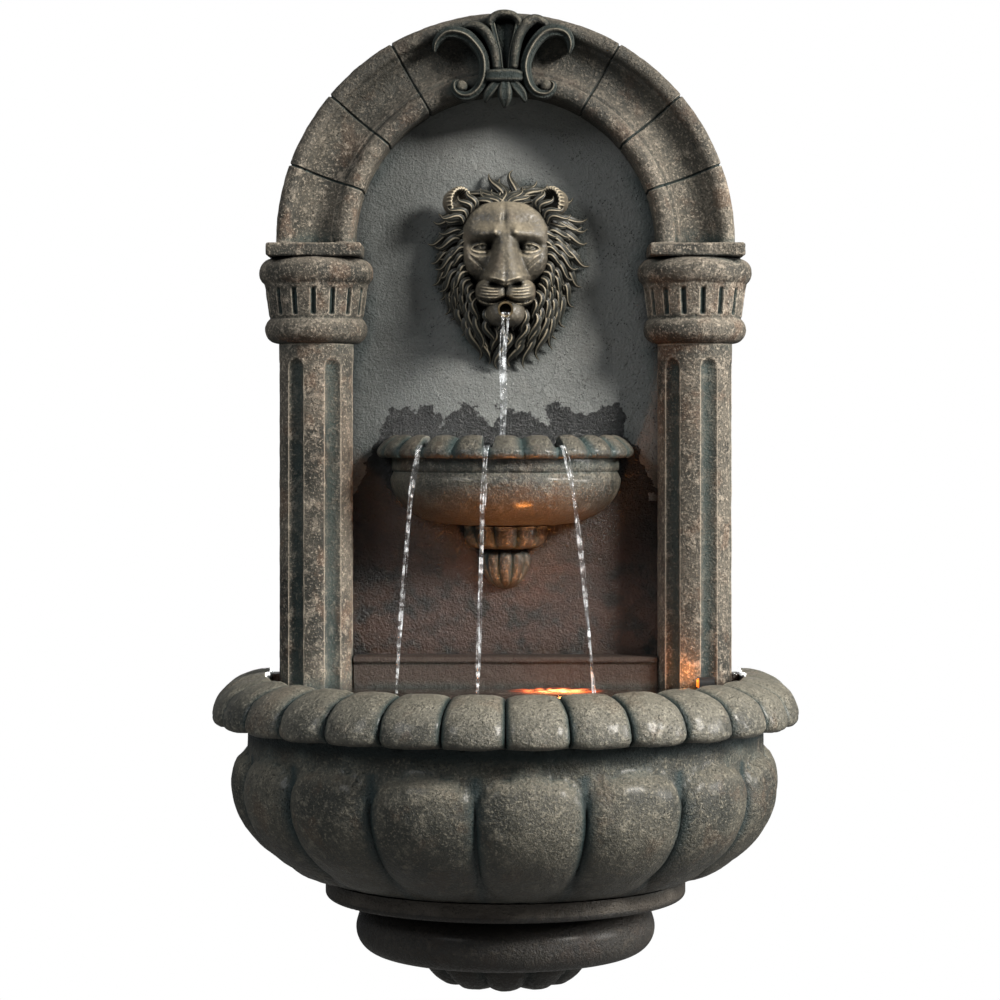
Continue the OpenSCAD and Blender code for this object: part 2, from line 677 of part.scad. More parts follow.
module mask_body() {
    n = mask_spokes;
    rim = 1 + (mask_rings - 1) * n;
    back = rim + n;
    net = concat([mask_point(0, 0)], [for (k = [1:mask_rings], i = [0:n - 1]) mask_point(k, i)]);
    polyhedron(
        points = concat(
            net, [for (i = [0:n - 1]) let (p = net[rim + i]) [p[0], niche_y, p[2]]], [[0, niche_y, mask_z]]
        ),
        faces = concat(
            [for (i = [0:n - 1]) [0, 1 + (i + 1) % n, 1 + i]],
            [for (k = [1:mask_rings - 1], i = [0:n - 1]) each let (
                a = 1 + (k - 1) * n + i, b = 1 + (k - 1) * n + (i + 1) % n,
                step_a = abs(net[a][1] - net[b + n][1]), step_b = abs(net[b][1] - net[a + n][1])
            ) step_a < step_b ? [[a, b, b + n], [a, b + n, a + n]] : [[a, b, a + n], [b, b + n, a + n]]],
            [for (i = [0:n - 1]) each let (a = rim + i, b = rim + (i + 1) % n)
                [[a, b, a + n], [b, b + n, a + n]]],
            [for (i = [0:n - 1]) [back + i, back + (i + 1) % n, back + n]]
        )
    );
}

module lion_mask() color(aged_bronze) on_wall() difference() {
    mask_body();
    peg(0, spout_z, spout_r + running_gap, panel_d - 1, panel_d + mask_proud + 40);
}

module spout() color([0.45, 0.36, 0.24]) on_wall() difference() {
    peg(0, spout_z, spout_r, panel_d - cast_wall, panel_d + spout_proud);
    peg(0, spout_z, spout_bore_r, 0, panel_d + spout_proud + 1);
}

elbow_r = spout_bore_r - running_gap;
barb_r = tube_bore_r - running_gap;
elbow_bore_r = barb_r - 1.2;
elbow_drop = 8;
barb_l = 20;
module spout_elbow() color([0.2, 0.2, 0.2]) on_wall() difference() {
    union() {
        peg(0, spout_z, elbow_r, riser_d, panel_d + 12);
        translate([0, -riser_d, spout_z]) sphere(r = tube_r);
        translate([0, -riser_d, spout_z - elbow_drop]) cylinder(r = tube_r, h = elbow_drop);
        translate([0, -riser_d, spout_z - elbow_drop - barb_l]) cylinder(r = barb_r, h = barb_l + 1);
    }
    peg(0, spout_z, elbow_bore_r, riser_d, panel_d + 13);
    translate([0, -riser_d, spout_z - elbow_drop - barb_l - 1])
        cylinder(r = elbow_bore_r, h = elbow_drop + barb_l + 1);
}

// Upper bowl: a half bowl bonded to the niche, round about the face of the niche
upper_core = 36;
upper_foot = 8;
upper_widest = upper_bowl_h * 0.68;
upper_wall = cast_wall;
function upper_profile(h) = let (u = (upper_widest - h) / upper_widest)
    upper_core + upper_foot + (upper_bowl_r - upper_core - upper_foot) * sqrt(1 - u * u);
band_h = 12;
module upper_bowl() color(wet_bronze) on_wall() translate([0, niche_y, upper_bowl_z]) rotate([0, 0, 180])
    rotate_extrude(angle = 180) polygon(concat(
        [[0, 0]],
        [for (k = [0:9]) let (h = upper_widest * k / 9) [upper_profile(h), h]],
        [[upper_bowl_r - 3, upper_bowl_h - band_h - 1], [upper_bowl_r - 1, upper_bowl_h - band_h]],
        [[upper_bowl_r - 1, upper_bowl_h], [upper_bowl_r - 1 - upper_wall, upper_bowl_h]],
        [for (k = [9:-1:2]) let (h = upper_widest * k / 9)
            [upper_profile(h) - upper_wall, h + upper_wall * (1 - k / 9)]],
        [[0, upper_wall + 2]]
    ));

upper_pitch = 180 / upper_lobes;
upper_inner_r = upper_bowl_r - upper_wall - 5;
upper_crown = 19;
upper_notches = [-2.5, -0.5, 1.5] * upper_pitch;
function upper_section(a) = let (
    f = fall(across(a, upper_pitch, upper_pitch / 2)),
    lip = upper_lip_r - 4 * f
) [for (p = [
    [upper_inner_r, 0], [upper_bowl_r + 3, 0], [lip - 4, -2], [lip, 2], [lip - 1, 7 - f],
    [lip - 7, 13 - 2 * f], [upper_bowl_r - 3, upper_crown - 3 * f], [upper_inner_r, upper_crown - 3 - 2 * f]
]) along(a, p[0], upper_rim_z + p[1], upper_lip_r, panel_d)];
module upper_rim() color(pale_bronze) on_wall() difference() {
    swept([for (a = stations(upper_pitch, upper_pitch / 2, 5, 90)) upper_section(a)]);
    for (a = upper_notches) translate([0, niche_y, upper_rim_z + upper_crown - 11]) rotate([0, 0, a])
        translate([-notch_w / 2, -upper_lip_r - 5, 0]) cube([notch_w, upper_lip_r, upper_crown]);
}

// Corbel under the upper bowl: two lobed tiers that end in a drop. Each row gives its height in tiers, and
// the shares of the radius on a lobe and of its fall in a valley
corbel_h = corbel_upper_h + corbel_lower_h;
corbel_z = upper_bowl_z - corbel_h;
corbel_rows = [
    [0, 0.11, 0], [0.10, 0.27, 0.04], [0.27, 0.46, 0.08], [0.58, 0.60, 0.11], [0.86, 0.60, 0.11],
    [0.99, 0.46, 0.05], [1.02, 0.70, 0.05], [1.15, 0.89, 0.11], [1.5, 1, 0.13], [1.85, 1, 0.11],
    [2, 0.95, 0.05]
];
corbel_pitch = 36;
module corbel() color(wet_bronze) on_wall() lobed_boss([for (row = corbel_rows) let (
    z = corbel_z + (row[0] < 1 ? row[0] * corbel_lower_h : corbel_lower_h + (row[0] - 1) * corbel_upper_h)
) [for (a = stations(corbel_pitch, corbel_pitch / 2, 6, 90))
    along(
        a, corbel_r * (row[1] - row[2] * fall(across(a, corbel_pitch, corbel_pitch / 2))), z, 1, panel_d
    )]]);

// Basin bowl: eight broad lobes with rounded ends over a smooth shell, and a plain neck above them
bowl_pitch = 180 / bowl_lobes;
bowl_end = end_angle(bowl_r, bowl_back);
bowl_stations = stations(bowl_pitch, bowl_turn + bowl_pitch / 2, 7, bowl_end);
bowl_rows = [0, 0.035, 0.1, 0.2, 0.32, 0.46, 0.6, 0.74, 0.86, 0.94, 1];
function bowl_relief(a, h) = let (
    u = across(a, bowl_pitch, bowl_turn + bowl_pitch / 2),
    v = (h / bowl_h - 0.5) / 0.47
) valley * min(1, pow(pow(abs(u), 3.4) + pow(abs(v), 5), 0.8));
function bowl_outer(a) = concat(
    [for (f = bowl_rows) let (h = f * bowl_h)
        along(a, bowl_profile(h) - bowl_relief(a, h), bowl_z + h, bowl_r)],
    [along(a, neck_r, neck_z + 4, bowl_r), along(a, neck_r, rim_z, bowl_r)]
);
function bowl_inner(a) = concat(
    [for (f = bowl_rows) let (h = bowl_wall + f * (bowl_h - bowl_wall))
        along(a, bowl_profile(h) - valley - bowl_wall * (1.6 - 0.6 * f), bowl_z + h, bowl_r)],
    [along(a, neck_r - bowl_wall, neck_z + 4, bowl_r), along(a, neck_r - bowl_wall, rim_z, bowl_r)]
);
module basin_bowl() color(aged_bronze) on_wall()
    bowl_shell([for (a = bowl_stations) bowl_outer(a)], [for (a = bowl_stations) bowl_inner(a)]);

// Basin rim: drooping lobes all round, run back to the wall at both ends
rim_pitch = 180 / rim_lobes;
rim_end = end_angle(rim_lip_r, 0);
// Section of the rim: share of its width, share of its height, and how far that place falls in a valley
rim_rows = [
    [0, 0, 0], [0.73, 0, 0], [0.9, -0.02, 0], [1, 0.1, 0], [0.98, 0.3, 1], [0.88, 0.57, 2], [0.67, 0.8, 3],
    [0.38, 0.95, 4], [0.12, 1, 4], [0, 0.93, 3]
];
function rim_section(a) = let (
    f = fall(across(a, rim_pitch, 0)),
    width = rim_w - valley * 0.8 * f
) [for (p = rim_rows) along(a, rim_inner_r + p[0] * width, rim_z + p[1] * rim_h - p[2] * f, rim_lip_r)];
module basin_rim() color(aged_bronze) on_wall()
    swept([for (a = stations(rim_pitch, 0, 6, rim_end)) rim_section(a)]);

// The foot of the basin: a flat ring, a round tier and a lobed knob, each hollow and closed by the panel
edge_r = 5;
module ring_profile(inset) {
    translate([0, ring_z + inset]) square([ring_r - inset - edge_r, ring_h + (inset > 0 ? 1 : 0)]);
    translate([0, ring_z + edge_r + inset]) square([ring_r - inset, ring_h - edge_r]);
    translate([ring_r - inset - edge_r, ring_z + inset + edge_r]) circle(r = edge_r);
}
module base_ring() color(wet_bronze) on_wall() intersection() {
    difference() {
        half_round(bowl_back) ring_profile(0);
        half_round(bowl_back - 1) ring_profile(cast_wall);
    }
    translate([-ring_r - 1, -axis_d - ring_r - 1, ring_z])
        cube([2 * ring_r + 2, ring_r + axis_d + 1, ring_h]);
}

tier_roll_r = torus_h * 0.45;
tier_top_r = torus_r - 13;
module tier_profile(inset) {
    translate([torus_r - tier_roll_r, torus_z + tier_roll_r]) circle(r = tier_roll_r - inset);
    translate([0, torus_z + inset]) square([torus_r - tier_roll_r, 2 * (tier_roll_r - inset)]);
    translate([0, torus_z + tier_roll_r]) square([tier_top_r - inset, torus_h - tier_roll_r + inset]);
}
module base_torus() color(wet_bronze) on_wall() intersection() {
    difference() {
        half_round(bowl_back) tier_profile(0);
        half_round(bowl_back - 1) tier_profile(cast_wall);
    }
    translate([-torus_r - 1, -axis_d - torus_r - 1, torus_z])
        cube([2 * torus_r + 2, torus_r + axis_d + 1, torus_h]);
}

finial_rows = [[0, 0.66, 0.8], [0.16, 0.83, 1], [0.42, 0.94, 1], [0.72, 1, 1], [1, 0.97, 0.8]];
finial_pitch = 36;
module base_finial() color(wet_bronze) on_wall() lobed_boss([for (row = finial_rows)
    [for (a = stations(finial_pitch, 18, 6, end_angle(finial_r, bowl_back)))
        let (f = fall(across(a, finial_pitch, 18)), lift = row[0] < 0.5 ? 4 * f : 0)
        along(a, row[1] * finial_r - 6 * f * row[2], row[0] * finial_h + lift, finial_r)]]);

// Pump: a motor block with the impeller chamber at its left end, lying along X on the floor of the basin
pump_y = -panel_d - pump_w / 2 - 3;
pump_z = floor_z + cup_h;
pump_axis_z = pump_z + pump_h / 2;
chamber_x0 = -chamber_l / 2;
chamber_x1 = chamber_l / 2;
block_x1 = chamber_x1 + motor_l;
chamber_floor = 2;
rotor_bore_r = magnet_r + 1;
rotor_x0 = chamber_x1;
rotor_x1 = block_x1 - 10;
block_round = 7;
nozzle_y = -sill_tube_d;
socket_z = pump_axis_z + chamber_r - 2;
socket_r = tube_r;
nozzle_flange_r = tube_r + 2;
nozzle_flange_h = 3;
nozzle_top = pump_z + pump_h + nozzle_flange_h;
nozzle_bore_r = barb_r - 1.2;
shaft_x0 = chamber_x0 - cover_t + 1;
shaft_x1 = block_x1 - 4;
strainer_x0 = chamber_x0 - cover_t - strainer_l;
strainer_wall = 2;
pump_screw_y = pump_w / 2 - 5.5;
pump_screw_z = pump_h / 2 - 5.5;
pump_screw_r = 1.3;

// A rod along X beside the pump axis
module x_rod(x0, x1, r, dy = 0, dz = 0) {
    translate([x0, pump_y + dy, pump_axis_z + dz]) rotate([0, 90, 0]) cylinder(r = r, h = x1 - x0);
}

// The rounded section of the pump, in the plane of Y and Z
module pump_section(inset) translate([pump_y, pump_axis_z]) {
    w = pump_w - 2 * inset;
    h = pump_h - 2 * inset;
    r = block_round - inset;
    square([w - 2 * r, h], center = true);
    square([w, h - 2 * r], center = true);
    for (sx = [-1, 1], sy = [-1, 1]) translate([sx * (w / 2 - r), sy * (h / 2 - r)]) circle(r = r);
}

module at_pump_corners() {
    for (dy = [-1, 1] * pump_screw_y, dz = [-1, 1] * pump_screw_z) translate([0, dy, dz]) children();
}

module pump_housing() color([0.12, 0.13, 0.14]) on_wall() difference() {
    along_x(chamber_x0, block_x1) pump_section(0);
    x_rod(chamber_x0 - 1, chamber_x1 - chamber_floor, chamber_r);
    x_rod(chamber_x1 - chamber_floor - 1, rotor_x1, rotor_bore_r);
    x_rod(rotor_x1 - 1, shaft_x1 + 0.5, shaft_pin_r + running_gap);
    at_pump_corners() x_rod(chamber_x0 - 1, chamber_x0 + 9, pump_screw_r);
    translate([0, nozzle_y, pump_axis_z]) cylinder(r = nozzle_bore_r, h = pump_h);
    translate([0, nozzle_y, socket_z]) cylinder(r = socket_r + running_gap, h = pump_h);
    for (k = [1:4])
        translate([chamber_x1 + k * motor_l / 5 - 1, pump_y - pump_w / 2 - 1, pump_axis_z - pump_h / 4])
            cube([2, 2.2, pump_h / 2]);
}

intake_r = 8;
hub_r = shaft_pin_r + 1.6;
module pump_cover() color([0.16, 0.17, 0.18]) on_wall() difference() {
    along_x(chamber_x0 - cover_t, chamber_x0) pump_section(0);
    difference() {
        x_rod(chamber_x0 - cover_t - 1, chamber_x0 + 1, intake_r);
        x_rod(chamber_x0 - cover_t - 2, chamber_x0 + 2, hub_r);
        for (a = [0, 120, 240]) translate([chamber_x0 - cover_t - 2, pump_y, pump_axis_z]) rotate([a, 0, 0])
            translate([0, -0.9, 0]) cube([cover_t + 4, 1.8, intake_r + 1]);
    }
    x_rod(shaft_x0 - 0.2, chamber_x0 + 1, shaft_pin_r + running_gap);
    at_pump_corners() x_rod(chamber_x0 - cover_t - 1, chamber_x0 + 1, pump_screw_r + running_gap);
}

screw_head_r = 2.4;
module pump_screws() color([0.7, 0.7, 0.72]) on_wall() at_pump_corners() difference() {
    union() {
        x_rod(chamber_x0 - cover_t - 1.6, chamber_x0 - cover_t, screw_head_r);
        x_rod(chamber_x0 - cover_t - 1, chamber_x0 + 8, pump_screw_r - running_gap);
    }
    translate([chamber_x0 - cover_t - 2, pump_y - 3, pump_axis_z - 0.35]) cube([1, 6, 0.7]);
}

dial_pin_r = 2.2;
slot_count = 5;
module pump_strainer() color([0.12, 0.13, 0.14]) on_wall() difference() {
    along_x(strainer_x0, chamber_x0 - cover_t) pump_section(0);
    along_x(strainer_x0 + strainer_wall, chamber_x0 - cover_t + 1) pump_section(strainer_wall);
    x_rod(strainer_x0 - 1, strainer_x0 + strainer_wall + 1, dial_pin_r + running_gap);
    for (k = [0:slot_count - 1], side = [-1, 1]) let (
        dz = (k - (slot_count - 1) / 2) * pump_h * 0.72 / slot_count
    ) translate([strainer_x0 - 1, pump_y + side * (pump_w / 2 - 6) - 2.8, pump_axis_z + dz - 1.2])
        cube([strainer_wall + 2, 5.6, 2.4]);
}

module flow_dial() color([0.55, 0.56, 0.58]) on_wall() {
    difference() {
        x_rod(strainer_x0 - seat_gap - 3, strainer_x0 - seat_gap, dial_r);
        for (a = [0:30:330]) translate([0, pump_y, pump_axis_z]) rotate([a, 0, 0]) translate([0, dial_r, 0])
            rotate([0, 90, 0]) translate([0, 0, strainer_x0 - seat_gap - 4]) cylinder(r = 1, h = 5);
    }
    translate([strainer_x0 - seat_gap - 5, pump_y - 1, pump_axis_z - dial_r + 2])
        cube([2.5, 2, 2 * dial_r - 4]);
    x_rod(strainer_x0 - seat_gap - 1, strainer_x0 + strainer_wall + 0.5, dial_pin_r);
    x_rod(strainer_x0 + strainer_wall + seat_gap, strainer_x0 + strainer_wall + 1.5, dial_pin_r + 0.8);
}

module outlet_nozzle() color([0.2, 0.2, 0.2]) on_wall() difference() {
    union() {
        translate([0, nozzle_y, socket_z]) cylinder(r = socket_r, h = nozzle_top - socket_z);
        translate([0, nozzle_y, pump_z + pump_h]) cylinder(r = nozzle_flange_r, h = nozzle_flange_h);
        translate([0, nozzle_y, nozzle_top - 1]) cylinder(r = barb_r, h = barb_l + 1);
    }
    translate([0, nozzle_y, socket_z - 1]) cylinder(r = nozzle_bore_r, h = barb_l + 50);
}

magnet_l = rotor_x1 - rotor_x0 - 3;
wheel_x0 = chamber_x0 + 1.5;
wheel_x1 = chamber_x1 - chamber_floor - 1;
wheel_r = chamber_r - 1.5;
module impeller() color([0.85, 0.85, 0.82]) on_wall() difference() {
    union() {
        x_rod(rotor_x0, rotor_x0 + magnet_l, magnet_r);
        x_rod(wheel_x0, rotor_x0 + 1, shaft_pin_r + 2);
        x_rod(wheel_x1 - 1.2, wheel_x1, wheel_r);
        for (k = [0:blade_count - 1]) translate([wheel_x0 + 1, pump_y, pump_axis_z])
            rotate([360 * k / blade_count, 0, 0]) translate([0, -0.6, shaft_pin_r + 1])
                cube([wheel_x1 - wheel_x0 - 1.5, 1.2, wheel_r - shaft_pin_r - 1.2]);
    }
    x_rod(wheel_x0 - 1, rotor_x0 + magnet_l + 1, shaft_pin_r + running_gap);
}

module impeller_shaft() color([0.93, 0.93, 0.9]) on_wall() x_rod(shaft_x0, shaft_x1, shaft_pin_r);

cup_r = 8;
cup_stem_r = 3;
module suction_cups() color([0.08, 0.08, 0.08]) on_wall()
    for (x = [chamber_x0 + cup_r + 1, block_x1 - cup_r - 1], dy = [-1, 1] * (pump_w / 2 - cup_r - 1))
        translate([x, pump_y + dy, floor_z]) {
            cylinder(r1 = cup_r, r2 = cup_stem_r, h = cup_h * 0.6);
            cylinder(r = cup_stem_r, h = cup_h);
        }

// Riser tube: up inside the sill, back through the panel in two bends, then up the hollow back to the spout
tube_foot_z = nozzle_top + seat_gap;
tube_top_z = spout_z - elbow_drop - seat_gap;
tube_sides = 14;
bend_steps = 5;

// Stations down the middle of the tube: distance from the wall, height and lean towards the wall
tube_stations = concat(
    [[sill_tube_d, tube_foot_z, 0]],
    [for (k = [0:bend_steps]) let (a = tube_angle * k / bend_steps)
        [sill_tube_d - tube_bend * (1 - cos(a)), tube_mid_z - bend_rise + tube_bend * sin(a), a]],
    [for (k = [bend_steps - 1:-1:0]) let (a = tube_angle * k / bend_steps)
        [riser_d + tube_bend * (1 - cos(a)), tube_mid_z + bend_rise - tube_bend * sin(a), a]],
    [[riser_d, tube_top_z, 0]]
);
function tube_ring(s, r) = [for (i = [0:tube_sides - 1]) let (
    t = 360 * i / tube_sides, u = r * cos(t), v = r * sin(t)
) [u, -s[0] + v * cos(s[2]), s[1] - v * sin(s[2])]];
module riser_tube() color([0.75, 0.78, 0.78]) on_wall() {
    n = tube_sides;
    m = len(tube_stations);
    shift = n * m;
    polyhedron(
        points = concat(
            [for (s = tube_stations) each tube_ring(s, tube_r)],
            [for (s = tube_stations) each tube_ring(s, tube_bore_r / cos(180 / n))]
        ),
        faces = concat(
            [for (k = [0:m - 2], i = [0:n - 1]) each let (a = k * n + i, b = k * n + (i + 1) % n)
                [[a, a + n, b], [b, a + n, b + n]]],
            [for (k = [m:2 * m - 2], i = [0:n - 1]) each let (a = k * n + i, b = k * n + (i + 1) % n)
                [[a, b, a + n], [b, b + n, a + n]]],
            [for (i = [0:n - 1]) let (j = (i + 1) % n) each [[i, j, shift + i], [j, shift + j, shift + i]]],
            [for (i = [0:n - 1]) let (j = (i + 1) % n, top = (m - 1) * n) each [
                [top + i, shift + top + i, top + j], [top + j, shift + top + i, shift + top + j]
            ]]
        )
    );
}

clamp_h = 6;
clamp_t = 1;
module hose_clamp(y, z) translate([0, y, z]) difference() {
    union() {
        cylinder(r = tube_r + running_gap + clamp_t, h = clamp_h);
        translate([tube_r - 1, -1.5, 0]) cube([6, 3, clamp_h]);
    }
    translate([0, 0, -1]) cylinder(r = tube_r + running_gap, h = clamp_h + 2);
    translate([tube_r - 2, -0.4, -1]) cube([8, 0.8, clamp_h + 2]);
}
module hose_clamps() color([0.7, 0.7, 0.72]) on_wall() {
    hose_clamp(-riser_d, tube_top_z - 12);
    hose_clamp(-sill_tube_d, tube_foot_z + 5);
}

clip_w = 18;
clip_h = 10;
clip_inset = 80;
module tube_clips() color([0.2, 0.2, 0.2]) on_wall()
    for (z = [sill_z + clip_inset, spout_z - clip_inset]) difference() {
        translate([-clip_w / 2, -panel_d + cast_wall, z])
            cube([clip_w, panel_d - cast_wall - riser_d + 2.5, clip_h]);
        translate([0, -riser_d, z - 1]) cylinder(r = tube_r + running_gap, h = clip_h + 2);
    }

// Lamps: a round one on the floor under the pool and a small one at the foot of the right column
pool_lamp_h = 14;
module pool_lamp_at() translate([pool_lamp_x, -pool_lamp_d, floor_z]) children();
module pool_lamp_housing() color([0.1, 0.1, 0.11]) on_wall() pool_lamp_at() difference() {
    union() {
        cylinder(r = pool_lamp_r - 3, h = 3);
        translate([0, 0, 2]) cylinder(r1 = pool_lamp_r - 2, r2 = pool_lamp_r, h = pool_lamp_h - 2);
    }
    translate([0, 0, pool_lamp_h - 4]) cylinder(r = pool_lamp_r - 2, h = 5);
}
module pool_lamp_lens() color([0.95, 0.6, 0.25]) on_wall() pool_lamp_at() translate([0, 0, pool_lamp_h - 4])
    rotate_extrude() {
        square([pool_lamp_r - 2 - running_gap, 5]);
        intersection() {
            translate([0, 5 - pool_lamp_r]) circle(r = pool_lamp_r + 3);
            translate([0, 4]) square([pool_lamp_r - 2 - running_gap, 8]);
        }
    }

side_lamp_x = column_spacing / 2 + 1;
side_lamp_y = column_y - shaft_r - side_lamp_r - 2;
side_lamp_height = rim_z + side_lamp_z;
module side_rod(x0, x1, r) translate([side_lamp_x + x0, side_lamp_y, side_lamp_height]) rotate([0, 90, 0])
    cylinder(r = r, h = x1 - x0);
module side_lamp_housing() color([0.1, 0.1, 0.11]) on_wall() difference() {
    side_rod(0, side_lamp_l, side_lamp_r);
    side_rod(-1, 4, side_lamp_r - 1);
}
module side_lamp_lens() color([0.95, 0.6, 0.25]) on_wall() union() {
    side_rod(-1, 4, side_lamp_r - 1 - running_gap);
    side_rod(-2, 0, side_lamp_r - 2);
}
module side_lamp_pad() color([0.08, 0.08, 0.08]) on_wall() difference() {
    translate([side_lamp_x + 3, side_lamp_y, side_lamp_height - side_lamp_r + 1])
        cube([side_lamp_l - 5, side_lamp_r + 6, 2 * side_lamp_r - 2]);
    translate([column_spacing / 2, column_y, shaft_foot_z]) cylinder(r = shaft_r + running_gap, h = 100);
    side_rod(-1, side_lamp_l + 1, side_lamp_r + running_gap);
}

// Hanging plates with keyholes, screwed to bosses in the hollow back, flush with the wall
slot_rise = 12;
countersink = 3.8;
head_sunk = 0.1;
module hanger_plates() color([0.62, 0.64, 0.66]) on_wall()
    for (x = [-1, 1] * hanger_spacing / 2) difference() {
        translate([x - hanger_w / 2, -hanger_t, hang_z - hanger_h / 2]) cube([hanger_w, hanger_t, hanger_h]);
        peg(x, hang_z, hanger_hole_r, -1, hanger_t + 1);
        translate([x - hanger_slot_w / 2, -hanger_t - 1, hang_z])
            cube([hanger_slot_w, hanger_t + 2, slot_rise]);
        peg(x, hang_z + slot_rise, hanger_slot_w / 2, -1, hanger_t + 1);
        for (dz = [-1, 1] * hanger_screw_dz) {
            peg(x, hang_z + dz, hanger_screw_r + running_gap, -1, hanger_t + 1);
            translate([x, 0, hang_z + dz]) rotate([90, 0, 0])
                cylinder(r1 = countersink, r2 = hanger_screw_r + running_gap, h = hanger_t);
        }
    }
module hanger_screws() color([0.7, 0.7, 0.72]) on_wall()
    for (x = [-1, 1] * hanger_spacing / 2, dz = [-1, 1] * hanger_screw_dz) difference() {
        translate([x, 0, hang_z + dz]) rotate([90, 0, 0]) rotate_extrude() polygon([
            [0, head_sunk], [countersink - 2 * head_sunk, head_sunk],
            [hanger_screw_r - running_gap, hanger_t],
            [hanger_screw_r - running_gap, panel_d - cast_wall - 3], [0, panel_d - cast_wall - 3]
        ]);
        translate([x - 0.4, -0.7, hang_z + dz - countersink]) cube([0.8, 1, 2 * countersink]);
    }

module cable_grommet() color([0.08, 0.08, 0.08]) on_wall() difference() {
    union() {
        peg(grommet_x, tube_hole_z, grommet_neck_r, panel_d - cast_wall - 1.5, panel_d + 1.5);
        peg(grommet_x, tube_hole_z, grommet_r, panel_d, panel_d + 1.5);
        peg(grommet_x, tube_hole_z, grommet_r, panel_d - cast_wall - 1.5, panel_d - cast_wall);
    }
    peg(grommet_x, tube_hole_z, grommet_neck_r - 2, 0, panel_d + 10);
}

back_panel();
niche_sill();
column_left();
column_right();
capital_left();
capital_right();
arch_moulding();
crest();
lion_mask();
spout();
spout_elbow();
upper_bowl();
upper_rim();
corbel();
basin_bowl();
basin_rim();
base_ring();
base_torus();
base_finial();
riser_tube();
hose_clamps();
tube_clips();
pump_housing();
pump_cover();
pump_strainer();
outlet_nozzle();
impeller();
impeller_shaft();
flow_dial();
suction_cups();
pump_screws();
pool_lamp_housing();
pool_lamp_lens();
side_lamp_housing();
side_lamp_lens();
side_lamp_pad();
hanger_plates();
hanger_screws();
cable_grommet();
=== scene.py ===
import math
import random

import bpy
import numpy as np
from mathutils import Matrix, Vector, noise


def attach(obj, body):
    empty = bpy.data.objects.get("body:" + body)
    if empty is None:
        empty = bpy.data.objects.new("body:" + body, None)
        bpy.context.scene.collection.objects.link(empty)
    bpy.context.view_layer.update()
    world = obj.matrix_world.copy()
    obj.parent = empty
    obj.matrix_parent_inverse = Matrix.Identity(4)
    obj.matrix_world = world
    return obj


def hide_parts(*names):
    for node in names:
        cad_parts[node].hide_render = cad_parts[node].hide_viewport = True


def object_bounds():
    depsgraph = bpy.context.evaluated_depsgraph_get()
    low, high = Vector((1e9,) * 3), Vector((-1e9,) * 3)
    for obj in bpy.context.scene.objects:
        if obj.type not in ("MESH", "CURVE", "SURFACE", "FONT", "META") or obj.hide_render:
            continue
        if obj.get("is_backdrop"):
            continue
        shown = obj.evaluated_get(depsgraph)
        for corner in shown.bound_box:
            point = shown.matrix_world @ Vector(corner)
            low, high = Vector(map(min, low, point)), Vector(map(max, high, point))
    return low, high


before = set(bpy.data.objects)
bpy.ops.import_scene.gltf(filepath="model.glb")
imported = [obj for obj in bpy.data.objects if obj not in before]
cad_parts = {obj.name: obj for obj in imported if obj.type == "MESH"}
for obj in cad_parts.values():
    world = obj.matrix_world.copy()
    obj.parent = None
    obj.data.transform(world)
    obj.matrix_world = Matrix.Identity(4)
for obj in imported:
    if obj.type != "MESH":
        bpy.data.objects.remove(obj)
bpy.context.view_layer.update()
bpy.ops.object.select_all(action="DESELECT")

# Back panel: a thin cast resin shell with an arched top, painted slate grey and rusty where the water runs.
# It stays as modelled in CAD, so it only gets its paint here.


def shader_node(tree, kind, feeds, **settings):
    """A shader node with its settings, and each input fed by a value or by another node's socket."""
    made = tree.nodes.new(kind)
    for key, value in settings.items():
        setattr(made, key, value)
    for key, value in feeds.items():
        if isinstance(value, bpy.types.NodeSocket):
            tree.links.new(value, made.inputs[key])
        else:
            made.inputs[key].default_value = value
    return made


def stepped(tree, value, low, high, to_low=0.0, to_high=1.0):
    """A value eased from one range to another."""
    return shader_node(
        tree, "ShaderNodeMapRange",
        {"Value": value, "From Min": low, "From Max": high, "To Min": to_low, "To Max": to_high},
        interpolation_type="SMOOTHSTEP",
    ).outputs["Result"]


def maths(tree, operation, *values):
    """One step of arithmetic on values."""
    return shader_node(tree, "ShaderNodeMath", dict(enumerate(values)), operation=operation).outputs[0]


def vectors(tree, operation, feeds, output="Vector"):
    """One step of arithmetic on places."""
    return shader_node(tree, "ShaderNodeVectorMath", feeds, operation=operation).outputs[output]


def cloud(tree, place, scale, detail, rough=0.5):
    """Noise over a place, finer for a larger scale."""
    feeds = {"Vector": place, "Scale": scale, "Detail": detail, "Roughness": rough}
    return shader_node(tree, "ShaderNodeTexNoise", feeds).outputs["Fac"]


def mixed(tree, amount, a, b):
    """Two colours mixed by an amount."""
    a, b = (colour if isinstance(colour, bpy.types.NodeSocket) else (*colour, 1) for colour in (a, b))
    return shader_node(tree, "ShaderNodeMix", {0: amount, 6: a, 7: b}, data_type="RGBA").outputs[2]


def coated(tree, base, *coats):
    """A colour under coats, each one laid as its value runs between two limits, up to a share."""
    for value, low, high, share, colour in coats:
        base = mixed(tree, stepped(tree, value, low, high, 0, share), base, colour)
    return base


def bumped(tree, height, strength, depth):
    """Fine bumps on the surface, to a depth in metres."""
    bumps = shader_node(tree, "ShaderNodeBump", {"Strength": strength, "Distance": depth, "Height": height})
    tree.links.new(bumps.outputs["Normal"], tree.nodes["Principled BSDF"].inputs["Normal"])


def new_material(name):
    """A material, its node tree and its surface."""
    material = bpy.data.materials.new(name)
    material.use_nodes = True
    return material, material.node_tree, material.node_tree.nodes["Principled BSDF"]


